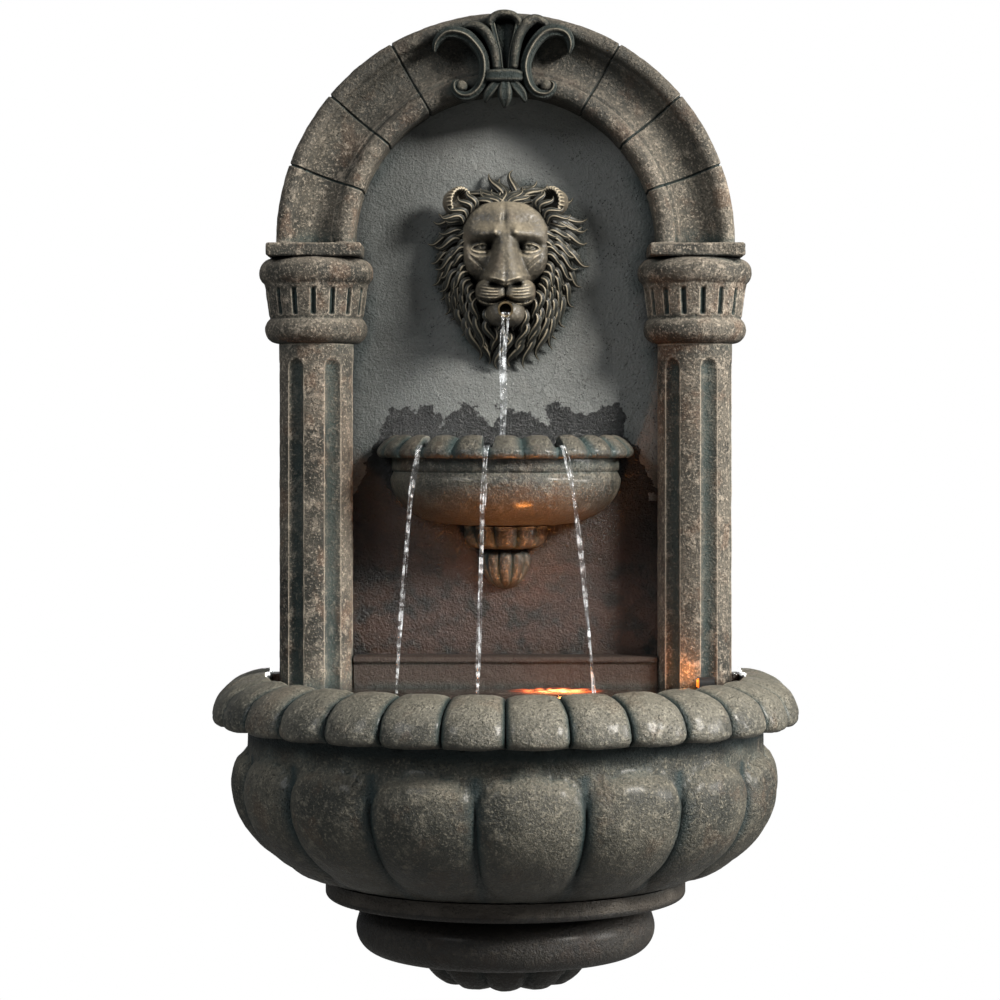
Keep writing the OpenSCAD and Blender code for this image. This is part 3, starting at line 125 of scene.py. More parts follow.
def weathered(name, dark, tone, light, patina, patina_share=0.7, wet=0.0, grain=1.0, reach=0.008):
    """Cast resin painted like old bronze, with pits and verdigris; edges are lighter as wear and as painted
    highlight, faces that look up are lighter as painted light, and recesses, corners and undersides are
    darker as painted shade, with some grime and patina.
    """
    material, tree, surface = new_material(name)
    place = tree.nodes.new("ShaderNodeTexCoord").outputs["Object"]
    wide, worn = cloud(tree, place, 14, 5, 0.62), cloud(tree, place, 33, 4, 0.6)
    patchy, fine = cloud(tree, place, 100, 6, 0.66), cloud(tree, place, 460, 3, 0.7)
    shift = vectors(tree, "SCALE", {0: (0.010, 0.010, 0.010), "Scale": patchy})
    pits = shader_node(
        tree, "ShaderNodeTexVoronoi",
        {"Vector": vectors(tree, "ADD", {0: place, 1: shift}), "Scale": 430.0, "Randomness": 1.0},
        feature="F1",
    ).outputs["Distance"]
    pitted = maths(tree, "MULTIPLY", stepped(tree, pits, 0.34, 0.10), stepped(tree, patchy, 0.42, 0.60))
    corner = shader_node(
        tree, "ShaderNodeAmbientOcclusion", {"Distance": reach}, samples=6, only_local=False
    ).outputs["AO"]
    shape = tree.nodes.new("ShaderNodeNewGeometry")
    edge = shape.outputs["Pointiness"]
    lean = shader_node(tree, "ShaderNodeSeparateXYZ", {"Vector": shape.outputs["Normal"]}).outputs["Z"]
    hollow = shader_node(tree, "ShaderNodeAttribute", {}, attribute_name="hollow").outputs["Fac"]
    rusty = tuple(a * b for a, b in zip(tone, (1.10, 0.72, 0.55)))
    grime_and_shade = tuple(0.15 * c for c in dark)

    base = coated(
        tree, mixed(tree, stepped(tree, wide, 0.38, 0.60), dark, tone),
        (worn, 0.52, 0.66, 0.55 * grain, rusty),
        (patchy, 0.50, 0.70, 0.42 * grain, light),
        # Faces that look up are painted lighter, as painted light from above.
        (lean, 0.1, 1.0, 0.30, light),
        (fine, 0.53, 0.68, 0.55 * grain, light),
        (fine, 0.47, 0.34, 0.80 * grain, dark),
        # Sharp edges are lighter, partly as wear and partly as a painted highlight.
        (edge, 0.512, 0.56, 0.75, light),
    )
    green = maths(tree, "MULTIPLY", stepped(tree, corner, 0.93, 0.55), stepped(tree, wide, 0.40, 0.54))
    base = coated(
        tree, mixed(tree, maths(tree, "MULTIPLY", green, patina_share), base, patina),
        # Marked recesses get dark patina with painted shade, occluded corners get grime with painted shade,
        # faces that look down get painted shade, and pits get dark grime.
        (hollow, 0.0, 1.0, 0.90, tuple(0.5 * c for c in patina)),
        (corner, 0.75, 0.25, 0.93, grime_and_shade),
        (lean, -0.15, -0.95, 0.6, grime_and_shade),
        (pitted, 0.0, 0.8, 0.75 * grain, grime_and_shade),
    )
    tree.links.new(base, surface.inputs["Base Color"])
    rough = stepped(tree, fine, 0.38, 0.62, 0.52 - 0.30 * wet, 0.80 - 0.40 * wet)
    tree.links.new(rough, surface.inputs["Roughness"])
    surface.inputs["Specular IOR Level"].default_value = 0.40 + 0.35 * wet
    surface.inputs["Coat Weight"].default_value = 0.35 * wet
    surface.inputs["Coat Roughness"].default_value = 0.22
    relief = maths(tree, "MULTIPLY_ADD", pitted, -0.35, maths(tree, "MULTIPLY_ADD", fine, 0.60, patchy))
    bumped(tree, relief, 0.9 * grain, 0.0030)
    return material


def finish_cad(names, material):
    """CAD nodes shown as they are, in a finish."""
    for name in names:
        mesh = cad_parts[name].data
        mesh.materials.clear()
        mesh.materials.append(material)


panel_paint = weathered(
    "panel_paint", (0.026, 0.031, 0.032), (0.068, 0.079, 0.080), (0.25, 0.26, 0.25), (0.03, 0.06, 0.06),
    reach=0.02
)
# The wall behind the falling water is wet: a dark patch with a ragged edge round the upper bowl, rusty below.
# The paint is also darker to the left, as painted shade, and lighter at the top, as painted light.
wall = panel_paint.node_tree
wall_surface = wall.nodes["Principled BSDF"].inputs
wall_place = wall.nodes.new("ShaderNodeTexCoord").outputs["Object"]
wall_xyz = shader_node(wall, "ShaderNodeSeparateXYZ", {"Vector": wall_place}).outputs
ragged = cloud(wall, wall_place, 42.0, 5.0, 0.6)
edge_height = maths(wall, "MULTIPLY_ADD", ragged, 0.085, wall_xyz["Z"])
inside = stepped(wall, maths(wall, "ABSOLUTE", wall_xyz["X"]), 0.095, 0.135, 0.0, 0.07)
edge_height = maths(wall, "ADD", edge_height, inside)
front = stepped(wall, wall_xyz["Y"], -0.0190, -0.0214)
wet_wall = maths(wall, "MULTIPLY", stepped(wall, edge_height, -0.109, -0.113), front)
rusty = maths(wall, "MULTIPLY", stepped(wall, wall_xyz["Z"], -0.16, -0.36), stepped(wall, ragged, 0.36, 0.60))
rust = mixed(wall, rusty, (0.014, 0.012, 0.011), (0.052, 0.027, 0.018))
wet_tone = mixed(wall, stepped(wall, wall_xyz["Z"], -0.20, -0.34), (0.012, 0.013, 0.014), rust)
shaded_and_soaked = coated(
    wall, wall_surface["Base Color"].links[0].from_socket,
    # Darker to the left as painted shade, and lighter at the top as painted light.
    (wall_xyz["X"], 0.0, -0.11, 0.55, (0.030, 0.038, 0.040)),
    (wall_xyz["Z"], 0.045, 0.11, 0.60, (0.30, 0.31, 0.30)),
    (front, 1.0, 0.0, 0.75, (0.070, 0.064, 0.051)),
    (wet_wall, 0.0, 1.0, 0.92, wet_tone),
)
wall.links.new(shaded_and_soaked, wall_surface["Base Color"])
wall.links.new(stepped(wall, wet_wall, 0.0, 1.0, 0.62, 0.24), wall_surface["Roughness"])
finish_cad(["back_panel"], panel_paint)

# Sill behind the basin, and the foot of the basin: castings made as empty shells. The sill is painted dark
# brown, darker still as painted shade, and the foot is painted dark and a little wet, as painted shade under
# the basin. The wet paint made first is for the upper bowl, its rim and the corbel.
wet_paint = weathered(
    "wet_paint", (0.024, 0.025, 0.020), (0.075, 0.072, 0.056), (0.30, 0.27, 0.21), (0.035, 0.085, 0.085),
    wet=0.5, reach=0.015
)
sill_paint = weathered(
    "sill_paint", (0.012, 0.008, 0.006), (0.026, 0.017, 0.013), (0.050, 0.034, 0.026), (0.03, 0.05, 0.045)
)
finish_cad(["niche_sill"], sill_paint)
foot_shade_paint = weathered(
    "foot_shade_paint", (0.008, 0.0075, 0.007), (0.021, 0.019, 0.016), (0.080, 0.068, 0.054), (0.014, 0.03, 0.03),
    wet=0.2
)
finish_cad(["base_ring", "base_torus"], foot_shade_paint)

# Columns: round shafts with flutes, cast in one with the wall and set into the basin. The flutes end in
# round heads below the capitals. The heights in shapes are in mm from the bottom of the knob.
origin_height = 640
wall_front = 21.4
column_axis, shaft_radius = 42, 32


def shaped_grid(name, columns, rows, place):
    """A grid moved into shape: place turns u and v, from 0 to 1, into mm across, mm out and mm of height, and
    may add a share that says how far the surface is painted with dark patina and painted shade there."""
    bpy.ops.object.select_all(action="DESELECT")
    bpy.ops.mesh.primitive_grid_add(x_subdivisions=columns, y_subdivisions=rows, size=1)
    made = bpy.context.object
    made.name = made.data.name = name
    spots = np.empty(len(made.data.vertices) * 3, np.float32)
    made.data.vertices.foreach_get("co", spots)
    x, y, z, *hollow = place(spots[0::3].astype(float) + 0.5, spots[1::3].astype(float) + 0.5)
    spots[0::3], spots[1::3], spots[2::3] = x / 1000, y / 1000, (z - origin_height) / 1000
    made.data.vertices.foreach_set("co", spots)
    if hollow:
        mark = made.data.attributes.new("hollow", "FLOAT", "POINT")
        mark.data.foreach_set("value", np.clip(hollow[0], 0, 1).astype(np.float32))
    made.data.update()
    bpy.ops.object.mode_set(mode="EDIT")
    bpy.ops.mesh.select_mode(type="EDGE")
    bpy.ops.mesh.select_all(action="SELECT")
    bpy.ops.mesh.remove_doubles(threshold=0.00002)
    bpy.ops.mesh.select_all(action="DESELECT")
    bpy.ops.mesh.select_non_manifold(use_wire=False, use_multi_face=False, use_non_contiguous=False)
    bpy.ops.mesh.fill_holes(sides=0)
    bpy.ops.mesh.select_all(action="SELECT")
    bpy.ops.mesh.normals_make_consistent(inside=False)
    bpy.ops.object.mode_set(mode="OBJECT")
    return made


def chip(piece, strength, size):
    """Uneven casting: the surface wavers in and out by a cloud of that size, in metres."""
    clouds = bpy.data.textures.new(piece.name + "_clouds", "CLOUDS")
    clouds.noise_scale = size
    clouds.noise_depth = 3
    waver = piece.modifiers.new("waver", "DISPLACE")
    waver.texture = clouds
    waver.texture_coords = "LOCAL"
    waver.strength = strength
    waver.mid_level = 0.62
    bpy.context.view_layer.objects.active = piece
    bpy.ops.object.modifier_apply(modifier="waver")


def finish_piece(piece, nodes, paint, sharp=0.7):
    """Smooth shading with sharp edges kept, the paint, a place under the fountain's body, and the CAD nodes
    it replaces hidden.
    """
    bpy.ops.object.select_all(action="DESELECT")
    piece.select_set(True)
    bpy.context.view_layer.objects.active = piece
    bpy.ops.object.shade_smooth_by_angle(angle=sharp)
    piece.data.materials.clear()
    piece.data.materials.append(paint)
    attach(piece, "fountain")
    if nodes:
        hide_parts(*nodes)


def line_at(points, share, measured=None):
    """Values at shares of the length of a line through points, measured over all or the first columns."""
    points = np.asarray(points, float)
    steps = np.concatenate([[0], np.cumsum(np.linalg.norm(np.diff(points[:, :measured], axis=0), axis=1))])
    return [np.interp(share * steps[-1], steps, column) for column in points.T]


def round_line(points, per=6):
    """A smooth line through points."""
    points = np.asarray(points, float)
    ends = np.vstack([2 * points[0] - points[1], points, 2 * points[-1] - points[-2]])
    line = []
    for k in range(1, len(ends) - 2):
        p0, p1, p2, p3 = ends[k - 1:k + 3]
        for t in np.linspace(0, 1, per, endpoint=False):
            line.append(0.5 * (
                2 * p1 + (p2 - p0) * t + (2 * p0 - 5 * p1 + 4 * p2 - p3) * t * t
                + (3 * p1 - p0 - 3 * p2 + p3) * t ** 3
            ))
    return np.array(line + [points[-1]])


def fluted_shaft(name, centre, turn):
    """A round shaft cut flat by the wall, its flutes 30 and 90 degrees from the front."""
    half = math.degrees(math.acos((wall_front - column_axis) / shaft_radius))
    flute_axis, flute_radius, flute_top = 36, 9, 532
    round_share = 0.97

    def place(u, v):
        angle = half * (2 * np.minimum(v / round_share, 1) - 1)
        height = 206 + 338 * u
        reach = np.full_like(u, shaft_radius)
        drop = np.clip(height - (flute_top - flute_radius), 0, flute_radius)
        cutter = np.sqrt(np.maximum(flute_radius ** 2 - drop ** 2, 0))
        cutter[height > flute_top] = 0
        for flute in (-90, -30, 30, 90):
            away = angle - flute - turn
            side = flute_axis * np.sin(np.radians(away))
            near = flute_axis * np.cos(np.radians(away)) - np.sqrt(np.maximum(cutter ** 2 - side ** 2, 0))
            inside = (np.abs(side) < cutter) & (np.abs(away) < 60)
            reach = np.where(inside, np.minimum(reach, near), reach)
        x = centre + reach * np.sin(np.radians(angle))
        y = -column_axis - reach * np.cos(np.radians(angle))
        back = v > round_share
        across = 1 - 2 * (v[back] - round_share) / (1 - round_share)
        x[back] = centre + shaft_radius * math.sin(math.radians(half)) * across
        y[back] = -wall_front
        # Flutes are marked by their depth for dark patina with painted shade.
        return x, y, height, 0.62 * (shaft_radius - reach) / 4.5

    shaft = shaped_grid(name, 170, 200, place)
    chip(shaft, 0.0009, 0.012)
    finish_piece(shaft, [name.replace("shaft", "column")], stone_paint, 0.5)


stone_paint = weathered(
    "stone_paint", (0.026, 0.026, 0.021), (0.118, 0.104, 0.082), (0.58, 0.50, 0.40), (0.025, 0.065, 0.065),
    reach=0.016
)
fluted_shaft("shaft_left", -162, 0)
fluted_shaft("shaft_right", 162, -11)

# Capitals: two fat rolls with a grooved neck between them and a square block on top, cast in one.


def arc(across, up, radius, start, end, count):
    """Points on an arc between two angles in degrees."""
    return [
        (across + radius * math.cos(math.radians(a)), up + radius * math.sin(math.radians(a)))
        for a in np.linspace(start, end, count)
    ]


def joined(name, pieces):
    """Pieces made into one."""
    bpy.ops.object.select_all(action="DESELECT")
    for piece in pieces:
        piece.select_set(True)
    bpy.context.view_layer.objects.active = pieces[0]
    bpy.ops.object.join()
    whole = bpy.context.object
    whole.name = name
    return whole


def capital(side, centre, turn):
    """Rolls and neck turned about the axis of the column and cut off by the niche, under a rounded block."""
    neck_low, neck_high = 567.5, 591.5
    outline = (
        [(28, 544)] + arc(32, 556, 12, -90, 52, 14) + [(40.5, 567.5), (43.5, 590.5)]
        + arc(36.5, 604.5, 12.5, -50, 84, 14) + [(30, 618)]
    )
    pitch = 22.5

    def place(u, v):
        reach, height = line_at(outline, v)
        angle = 360 * u
        groove = np.abs((angle - turn + pitch / 2) % pitch - pitch / 2) * np.pi / 180 * reach
        neck = np.clip(np.minimum(height - neck_low, neck_high - height) / 2.2, 0, 1)
        cut = neck * np.exp(-(groove / 1.9) ** 4)
        reach = reach - 3.2 * cut
        x = centre + reach * np.sin(np.radians(angle))
        y = np.minimum(-column_axis - reach * np.cos(np.radians(angle)), -wall_front)
        # The neck grooves are marked for dark patina with painted shade.
        return x, y, height, cut

    body = shaped_grid("capital_%s_rolls" % side, 320, 100, place)
    bpy.ops.mesh.primitive_cube_add(size=1, location=(centre / 1000, -0.0521, -0.0170))
    block = bpy.context.object
    block.name = "capital_%s_block" % side
    block.scale = (0.081, 0.0608, 0.0118)
    bpy.ops.object.transform_apply(location=True, rotation=False, scale=True)
    bpy.ops.object.mode_set(mode="EDIT")
    bpy.ops.mesh.select_all(action="SELECT")
    bpy.ops.mesh.bevel(offset=0.0026, segments=4, affect="EDGES")
    bpy.ops.mesh.subdivide(number_cuts=6)
    bpy.ops.object.mode_set(mode="OBJECT")
    chip(body, 0.0011, 0.009)
    chip(block, 0.0014, 0.010)
    finish_piece(joined(body.name, [body, block]), ["capital_" + side], stone_paint, 0.8)


capital("left", -162, 0)
capital("right", 162, 6)

# Arch: a moulding with a roll on each edge and a cove between them, marked into stones by fine joints.
arch_centre = 629


def arch_section(inset):
    """Radius and distance from the wall round the section, with every face moved in by inset."""
    return round_line(
        [(128.8 + inset, wall_front), (128.6 + inset, 45), (128.5 + inset, 60)]
        + arc(136.5, 66.5, 8.3 - inset, 176, 8, 16)
        + arc(162.5, 76.6, 17.6 + inset, 213, 327, 18)
        + arc(187.4, 67.3, 7.3 - inset, 172, 4, 16)
        + [(194.3 - inset, 60), (194.2 - inset, 45), (194.2 - inset, wall_front)], 3
    )


arch_outer, arch_inner = arch_section(0), arch_section(1.0)
joint_angles = np.array([20, 40, 60, 120, 140, 160])
arch_steps = np.linspace(0, 180, 3601)
arch_crowd = np.cumsum(1 + 9 * np.exp(-((arch_steps[:, None] - joint_angles) / 0.9) ** 2).sum(axis=1))
arch_crowd = (arch_crowd - arch_crowd[0]) / (arch_crowd[-1] - arch_crowd[0])


def arch_place(u, v):
    front_share = 0.96
    angle = np.interp(u, arch_crowd, arch_steps)
    radius, out = line_at(arch_outer, np.minimum(v / front_share, 1))
    deep_radius, deep_out = line_at(arch_inner, np.minimum(v / front_share, 1))
    gap = np.abs(angle[:, None] - joint_angles).min(axis=1) * np.pi / 180 * radius
    joint = 1.7 * np.exp(-(gap / 0.8) ** 2)
    radius, out = radius + (deep_radius - radius) * joint, out + (deep_out - out) * joint
    back = v > front_share
    radius[back] = 194.2 - 65.4 * (v[back] - front_share) / (1 - front_share)
    out[back] = wall_front
    turn = np.radians(angle)
    return radius * np.cos(turn), -out, arch_centre + radius * np.sin(turn), 0.6 * joint


arch = shaped_grid("arch", 620, 110, arch_place)
chip(arch, 0.0010, 0.010)
arch_paint = stone_paint.copy()
arch_paint.name = "arch_paint"
# The top of the arch is painted darker, as painted shade.
arch_tree = arch_paint.node_tree
arch_colour = arch_tree.nodes["Principled BSDF"].inputs["Base Color"]
arch_spot = arch_tree.nodes.new("ShaderNodeTexCoord").outputs["Object"]
arch_height = shader_node(arch_tree, "ShaderNodeSeparateXYZ", {"Vector": arch_spot}).outputs["Z"]
top_shade = (arch_height, 0.03, 0.14, 0.62, (0.018, 0.019, 0.016))
arch_tree.links.new(coated(arch_tree, arch_colour.links[0].from_socket, top_shade), arch_colour)
finish_piece(arch, ["arch_moulding"], arch_paint, 0.8)

# Crest: a shell-like fan between two scrolls, tied by a band over three drooping petals. It was sculpted for
# the mould, so each strap and petal is a rounded strand laid over the coving of the arch.
relief_ground = 21.5


def strand(name, route, along=30, around=26, ridges=0, deep=None, base=0.0):
    """A strap along a route of places across, up, out, half width and half thickness, in mm: its front may
    have ridges along it, and its back reaches deep down."""
    behind_share = 0.24
    front_share = 1 - behind_share
    route = round_line(route, 5)
    slope = np.gradient(route[:, :2], axis=0)
    slope /= np.linalg.norm(slope, axis=1)[:, None] + 1e-9

    def place(u, v):
        x, z, out, half, thick, run_x, run_z = line_at(np.hstack([route, slope]), u, 2)
        behind = thick if deep is None else deep
        round_end = np.sqrt(np.clip(np.minimum(u, 1 - u) / 0.05, 0, 1))
        turn = np.pi * np.where(v < front_share, v / front_share, 1 + (v - front_share) / behind_share)
        side = np.cos(turn)
        crease = 1 - 0.34 * (0.5 - 0.5 * np.cos(ridges * np.pi * (side + 1))) * (1 - side ** 6)
        rise = np.where(turn <= np.pi, np.sin(turn) * thick * crease, np.sin(turn) * behind)
        half = half * (0.25 + 0.75 * round_end)
        # The grooves between ridges and the flanks are marked for painted shade with dark patina, the whole
        # strand a little and its back fully.
        shaded = 0.28 + 2.2 * (1 - crease) + np.maximum(np.abs(side) - 0.66, 0) / 0.34
        hollow = np.where(turn <= np.pi, shaded, 1.0)
        return (
            x - run_z * half * side, -relief_ground - np.maximum(out + rise * (0.3 + 0.7 * round_end), -0.6),
            base + z + run_x * half * side, hollow,
        )

    return shaped_grid(name, along, around, place)


crest_parts = []
for side, scroll, ball in (
    (-1, [
        (-60, 789, 57, 1.8, 4), (-58.5, 797, 58, 3.2, 6), (-51.8, 804, 59, 4.8, 8),
        (-43.5, 805.5, 60, 5.4, 9), (-33, 802.5, 60, 5.6, 9), (-24.5, 794.5, 60, 5.2, 9),
        (-19.2, 786, 60, 5, 9), (-17.6, 777, 60, 4.8, 9), (-18.4, 767.5, 59, 4.6, 9),
        (-22.6, 758.5, 58, 4.4, 8), (-30, 752.8, 57, 4.2, 8), (-37.5, 752.6, 57, 3.8, 7.5),
        (-42.6, 757, 57, 3.4, 7), (-43, 763, 57, 2.9, 6.5), (-39.5, 765.8, 57, 2.2, 5),
    ], (-36.9, 760.2)),
    (1, [
        (53.6, 788, 57, 1.8, 4), (55, 796, 58, 3.2, 6), (51.4, 804, 59, 4.8, 8), (43.3, 807, 60, 5.4, 9),
        (34, 805.5, 60, 5.6, 9), (26, 798.5, 60, 5.2, 9), (19.8, 788, 60, 5, 9), (17, 777.5, 60, 4.8, 9),
        (18.2, 767.5, 59, 4.6, 9), (21.5, 759.5, 58, 4.4, 8), (26.8, 754.6, 57, 4.2, 8),
        (34, 753.6, 57, 3.8, 7.5), (39, 757, 57, 3.4, 7), (40.6, 762, 57, 2.9, 6.5),
        (37.4, 765, 57, 2.2, 5),
    ], (34.4, 760.6)),
):
    crest_parts.append(strand("scroll", scroll, 120, 26, 2, 22))
    bpy.ops.mesh.primitive_uv_sphere_add(
        segments=32, ring_count=20, radius=0.0049,
        location=(ball[0] / 1000, -0.0800, (ball[1] - origin_height) / 1000)
    )
    crest_parts.append(bpy.context.object)
for strap in (
    [(-36, 808.5, 57, 1.6, 4), (-31, 811, 59, 3.0, 6), (-24.5, 811, 60, 4.2, 7), (-17.5, 806.5, 61, 4.6, 8),
     (-12, 798, 61, 4.6, 8), (-8.6, 787, 61, 4.2, 8), (-7.4, 773, 60, 3.6, 7)],
    [(37, 805, 57, 1.8, 4), (33, 813.5, 59, 3.4, 6), (25, 816.5, 60, 4.4, 7), (17.5, 812.5, 61, 4.8, 8),
     (11.6, 803, 61, 4.6, 8), (8.4, 790, 61, 4.2, 8), (7.2, 773, 60, 3.6, 7)],
    [(-12.6, 809, 62, 2.2, 5), (-12.4, 815.5, 63, 3.2, 7), (-7.6, 819.6, 63, 3.4, 7.5),
     (-0.8, 820.6, 63, 3.6, 8), (6.2, 819.4, 63, 3.4, 7.5), (11, 815, 63, 3.2, 7), (11.4, 809, 62, 2.2, 5)],
    [(-11.6, 814, 62, 2.6, 7), (-8.4, 801, 61, 2.4, 7), (-5.2, 788, 60, 2.2, 7), (-3.6, 773, 59, 2.2, 7)],
    [(10.8, 813, 62, 2.6, 7), (7.8, 801, 61, 2.4, 7), (4.8, 788, 60, 2.2, 7), (3.4, 773, 59, 2.2, 7)],
    [(-0.6, 814, 56, 9.6, 3), (-0.4, 803, 56, 7.4, 3.4), (0, 790, 57, 5, 3.6), (0, 773, 57, 4, 4)],
    [(-18, 768.4, 62, 3.6, 5), (-12, 768.6, 65, 5.2, 6.4), (0, 768.8, 65.5, 5.6, 6.8),
     (9, 768.6, 65, 5.2, 6.4), (15.5, 768.4, 62, 3.6, 5)],
    [(-4.5, 765, 60, 3, 7), (-9.5, 760, 60, 4.4, 8), (-14.5, 754, 59, 4.2, 7.5), (-17.6, 747.4, 57, 1.6, 4)],
    [(-0.4, 765, 61, 4, 8), (-0.4, 756, 61, 6.4, 9), (-0.4, 749, 60, 5.2, 8), (-0.4, 742.6, 57, 1.6, 4)],
    [(4, 765, 60, 3, 7), (9, 760, 60, 4.4, 8), (13.8, 754, 59, 4.2, 7.5), (17.2, 747.6, 57, 1.6, 4)],
):
    crest_parts.append(strand("strap", strap, 60, 26, 1 if strap[0][3] > 2.5 else 0, 18))
# Its tones are much darker than the stone's, as painted shade at the top of the panel.
crest_paint = weathered(
    "crest_paint", (0.009, 0.010, 0.008), (0.032, 0.032, 0.025), (0.30, 0.27, 0.21), (0.02, 0.04, 0.038),
    reach=0.012
)
finish_piece(joined("crest_carving", crest_parts), ["crest"], crest_paint, 1.0)

# Lion mask: a face in high relief with two cupped ears and three layers of curled locks, sculpted for the
# mould and cast with the wall. The face is one dense relief, and the hair is many tapered, ridged strands
# grown together.
mask_height = 611


def soft_max(a, b, k):
    """The higher of two heights, blended where they meet, and more sharply for a larger k."""
    top = np.maximum(a, b)
    return top + np.log(np.exp(k * (a - top)) + np.exp(k * (b - top))) / k


def dome(x, z, cx, cz, rx, rz, low, rise, power=2.2):
    """A rounded swelling over an oval, which falls away steeply outside it."""
    q = np.abs((x - cx) / rx) ** power + np.abs((z - cz) / rz) ** power
    return low + rise * np.sqrt(np.maximum(1 - q, 0)) - 60 * np.clip(q - 1, 0, 3)


def bump(x, z, cx, cz, rx, rz):
    """A soft hump over an oval."""
    return np.exp(-((x - cx) / rx) ** 2 - ((z - cz) / rz) ** 2)


def ease(low, high, value):
    """A share that grows smoothly from 0 to 1 as a value runs between two limits."""
    share = np.clip((value - low) / (high - low), 0, 1)
    return share * share * (3 - 2 * share)


def face_height(x, z):
    """How far the face stands out from the niche, across and up from the middle of the mask, in mm."""
    side = np.abs(x)
    h = soft_max(
        dome(x, z, 0, 18, 37, 36, 33, 18, 2.6), dome(side, z, 23.5, 5, 12.5, 15, 34, 11), 0.33
    )
    h = h + 5.0 * bump(side, z, 15, 25.5, 12, 5.2) + 4.6 * bump(side, z, 8.2, 27.5, 4.2, 5)
    h = h - 3.4 * bump(x, z, -1, 36, 2.4, 12) - 1.6 * bump(side, z, 18, 37, 10, 5)
    h = h - 13.5 * bump(side, z, 20, 15.6, 9.4, 4.6) - 8 * bump(side, z, 12.6, 14.4, 4.2, 5.2)
    h = soft_max(h, dome(side, z, 20.2, 14.6, 6.6, 4.2, 36, 7.4), 1.6)
    h = h - 2.2 * bump(side, z, 19.4, 15.0, 1.5, 1.5) + 0.8 * bump(side, z, 19.4, 15.0, 3.0, 3.0)
    lid = (side - 20.5) / 8.8
    held = ease(1.18, 0.7, np.abs(lid))
    h = h + 3.4 * np.exp(-((z - (18.0 - 3.4 * lid ** 2 - 0.9 * lid)) / 1.3) ** 2) * held
    h = h + 2.0 * np.exp(-((z - (10.6 + 2.2 * lid ** 2)) / 1.2) ** 2) * held
    h = h - 1.3 * np.exp(-((z - (7.6 + 2.6 * lid ** 2)) / 1.1) ** 2) * held
    levels = [-23, -18.8, -16.6, -13, -6, 4, 14, 26, 36, 44]
    dropped = z + ease(-8, -12, z) * (2.6 - 0.3 * side)
    top = np.interp(dropped, levels, [0, 46, 70.0, 72.0, 69.5, 64.5, 60, 55.5, 46, 20])
    half = np.interp(z, [-17, -13, -6, 4, 14, 26, 46], [13.5, 14.5, 12.8, 10.4, 8.4, 7, 5])
    snout = top - 15 * (side / (half + 2.5)) ** 3
    h = soft_max(h, snout, 0.5)
    h = soft_max(h, dome(side, z, 9.4, -23.4, 15.6, 12, 44, 20, 2.4), 0.9)
    h = soft_max(h, dome(x, z, 0, -41, 16, 11, 41, 16, 2.5), 0.9)
    h = h + 2.4 * bump(side, z, 13.2, -12.6, 4.0, 3.6) - 1.2 * bump(x, z, 0, -9, 2.0, 9)
    h = h - 8.5 * bump(side, z, 8.8, -17.8, 4.2, 1.9) - 1.8 * bump(x, z, 0, -22.5, 1.1, 5)
    mouth = z + 32.4 - 0.028 * (side - 12) ** 2
    h = h - 7.5 * np.exp(-(mouth / 1.3) ** 2) * ease(25, 19, side)
    for k in range(4):
        whisker = z + 20.0 + 2.7 * k - 0.012 * (side - 10) ** 2
        h = h - 1.0 * np.exp(-(whisker / 0.55) ** 2) * ease(4, 8, side) * ease(24, 18, side)
    crease = z - (2 + 0.9 * (side - 24))
    h = h - 1.6 * np.exp(-(crease / 1.8) ** 2) * ease(14, 19, side) * ease(33, 27, side)
    return h


def face_place(u, v):
    x, z = 42 * (2 * u - 1), 58 - 113 * v
    ground = 20 - 40 * np.clip(np.hypot(x / 40, (z - 2) / 54) - 0.8, 0, 0.5)
    h = np.maximum(face_height(x, z), ground)
    h = h + 0.35 * np.array([noise.noise((a / 3, b / 3, 4)) for a, b in zip(x, z)])
    h[(u < 0.001) | (u > 0.999) | (v < 0.001) | (v > 0.999)] = 0
    return x, -relief_ground - h, mask_height + z


lion_paint = weathered(
    "lion_paint", (0.050, 0.044, 0.033), (0.120, 0.104, 0.078), (0.62, 0.53, 0.38), (0.012, 0.022, 0.021),
    wet=0.35, grain=0.3, reach=0.010
)
face = shaped_grid("lion_face", 130, 180, face_place)


def mane_reach(angle):
    """Outline of the mane: an oval that narrows to the beard."""
    c, s = math.cos(angle), math.sin(angle)
    up = 78 if s > 0 else 85
    oval = 1 / ((abs(c) / 70) ** 2.2 + (abs(s) / up) ** 2.2) ** (1 / 2.2)
    return oval * (1 - 0.13 * float(ease(0, 0.7, -s)) * (1 - abs(s) ** 5))


def lock(angle, start, tip, low, high, swing, width, rise):
    """One lock of hair, which swings both ways, thins to its tip and is grooved: it starts at a share of the
    mane's reach and ends at a place across and up."""
    root = start * mane_reach(angle) * np.array([math.cos(angle), math.sin(angle)])
    run = 1.03 * np.array(tip) - root
    beside = np.array([-run[1], run[0]])
    route = []
    for t in np.linspace(0, 1, 9):
        middle = root + run * t + beside * swing * (math.sin(5.4 * t) + 0.4 * t ** 4)
        half = width * (1 - t ** 2.8) * (0.7 + 0.5 * math.sin(math.pi * t)) + 0.3
        out = low + (high - low) * t + rise * math.sin(math.pi * t)
        route.append((*middle, out, half, 1.15 * half + 0.6))
    return strand("lock", route, 20, 20, 2, base=mask_height)


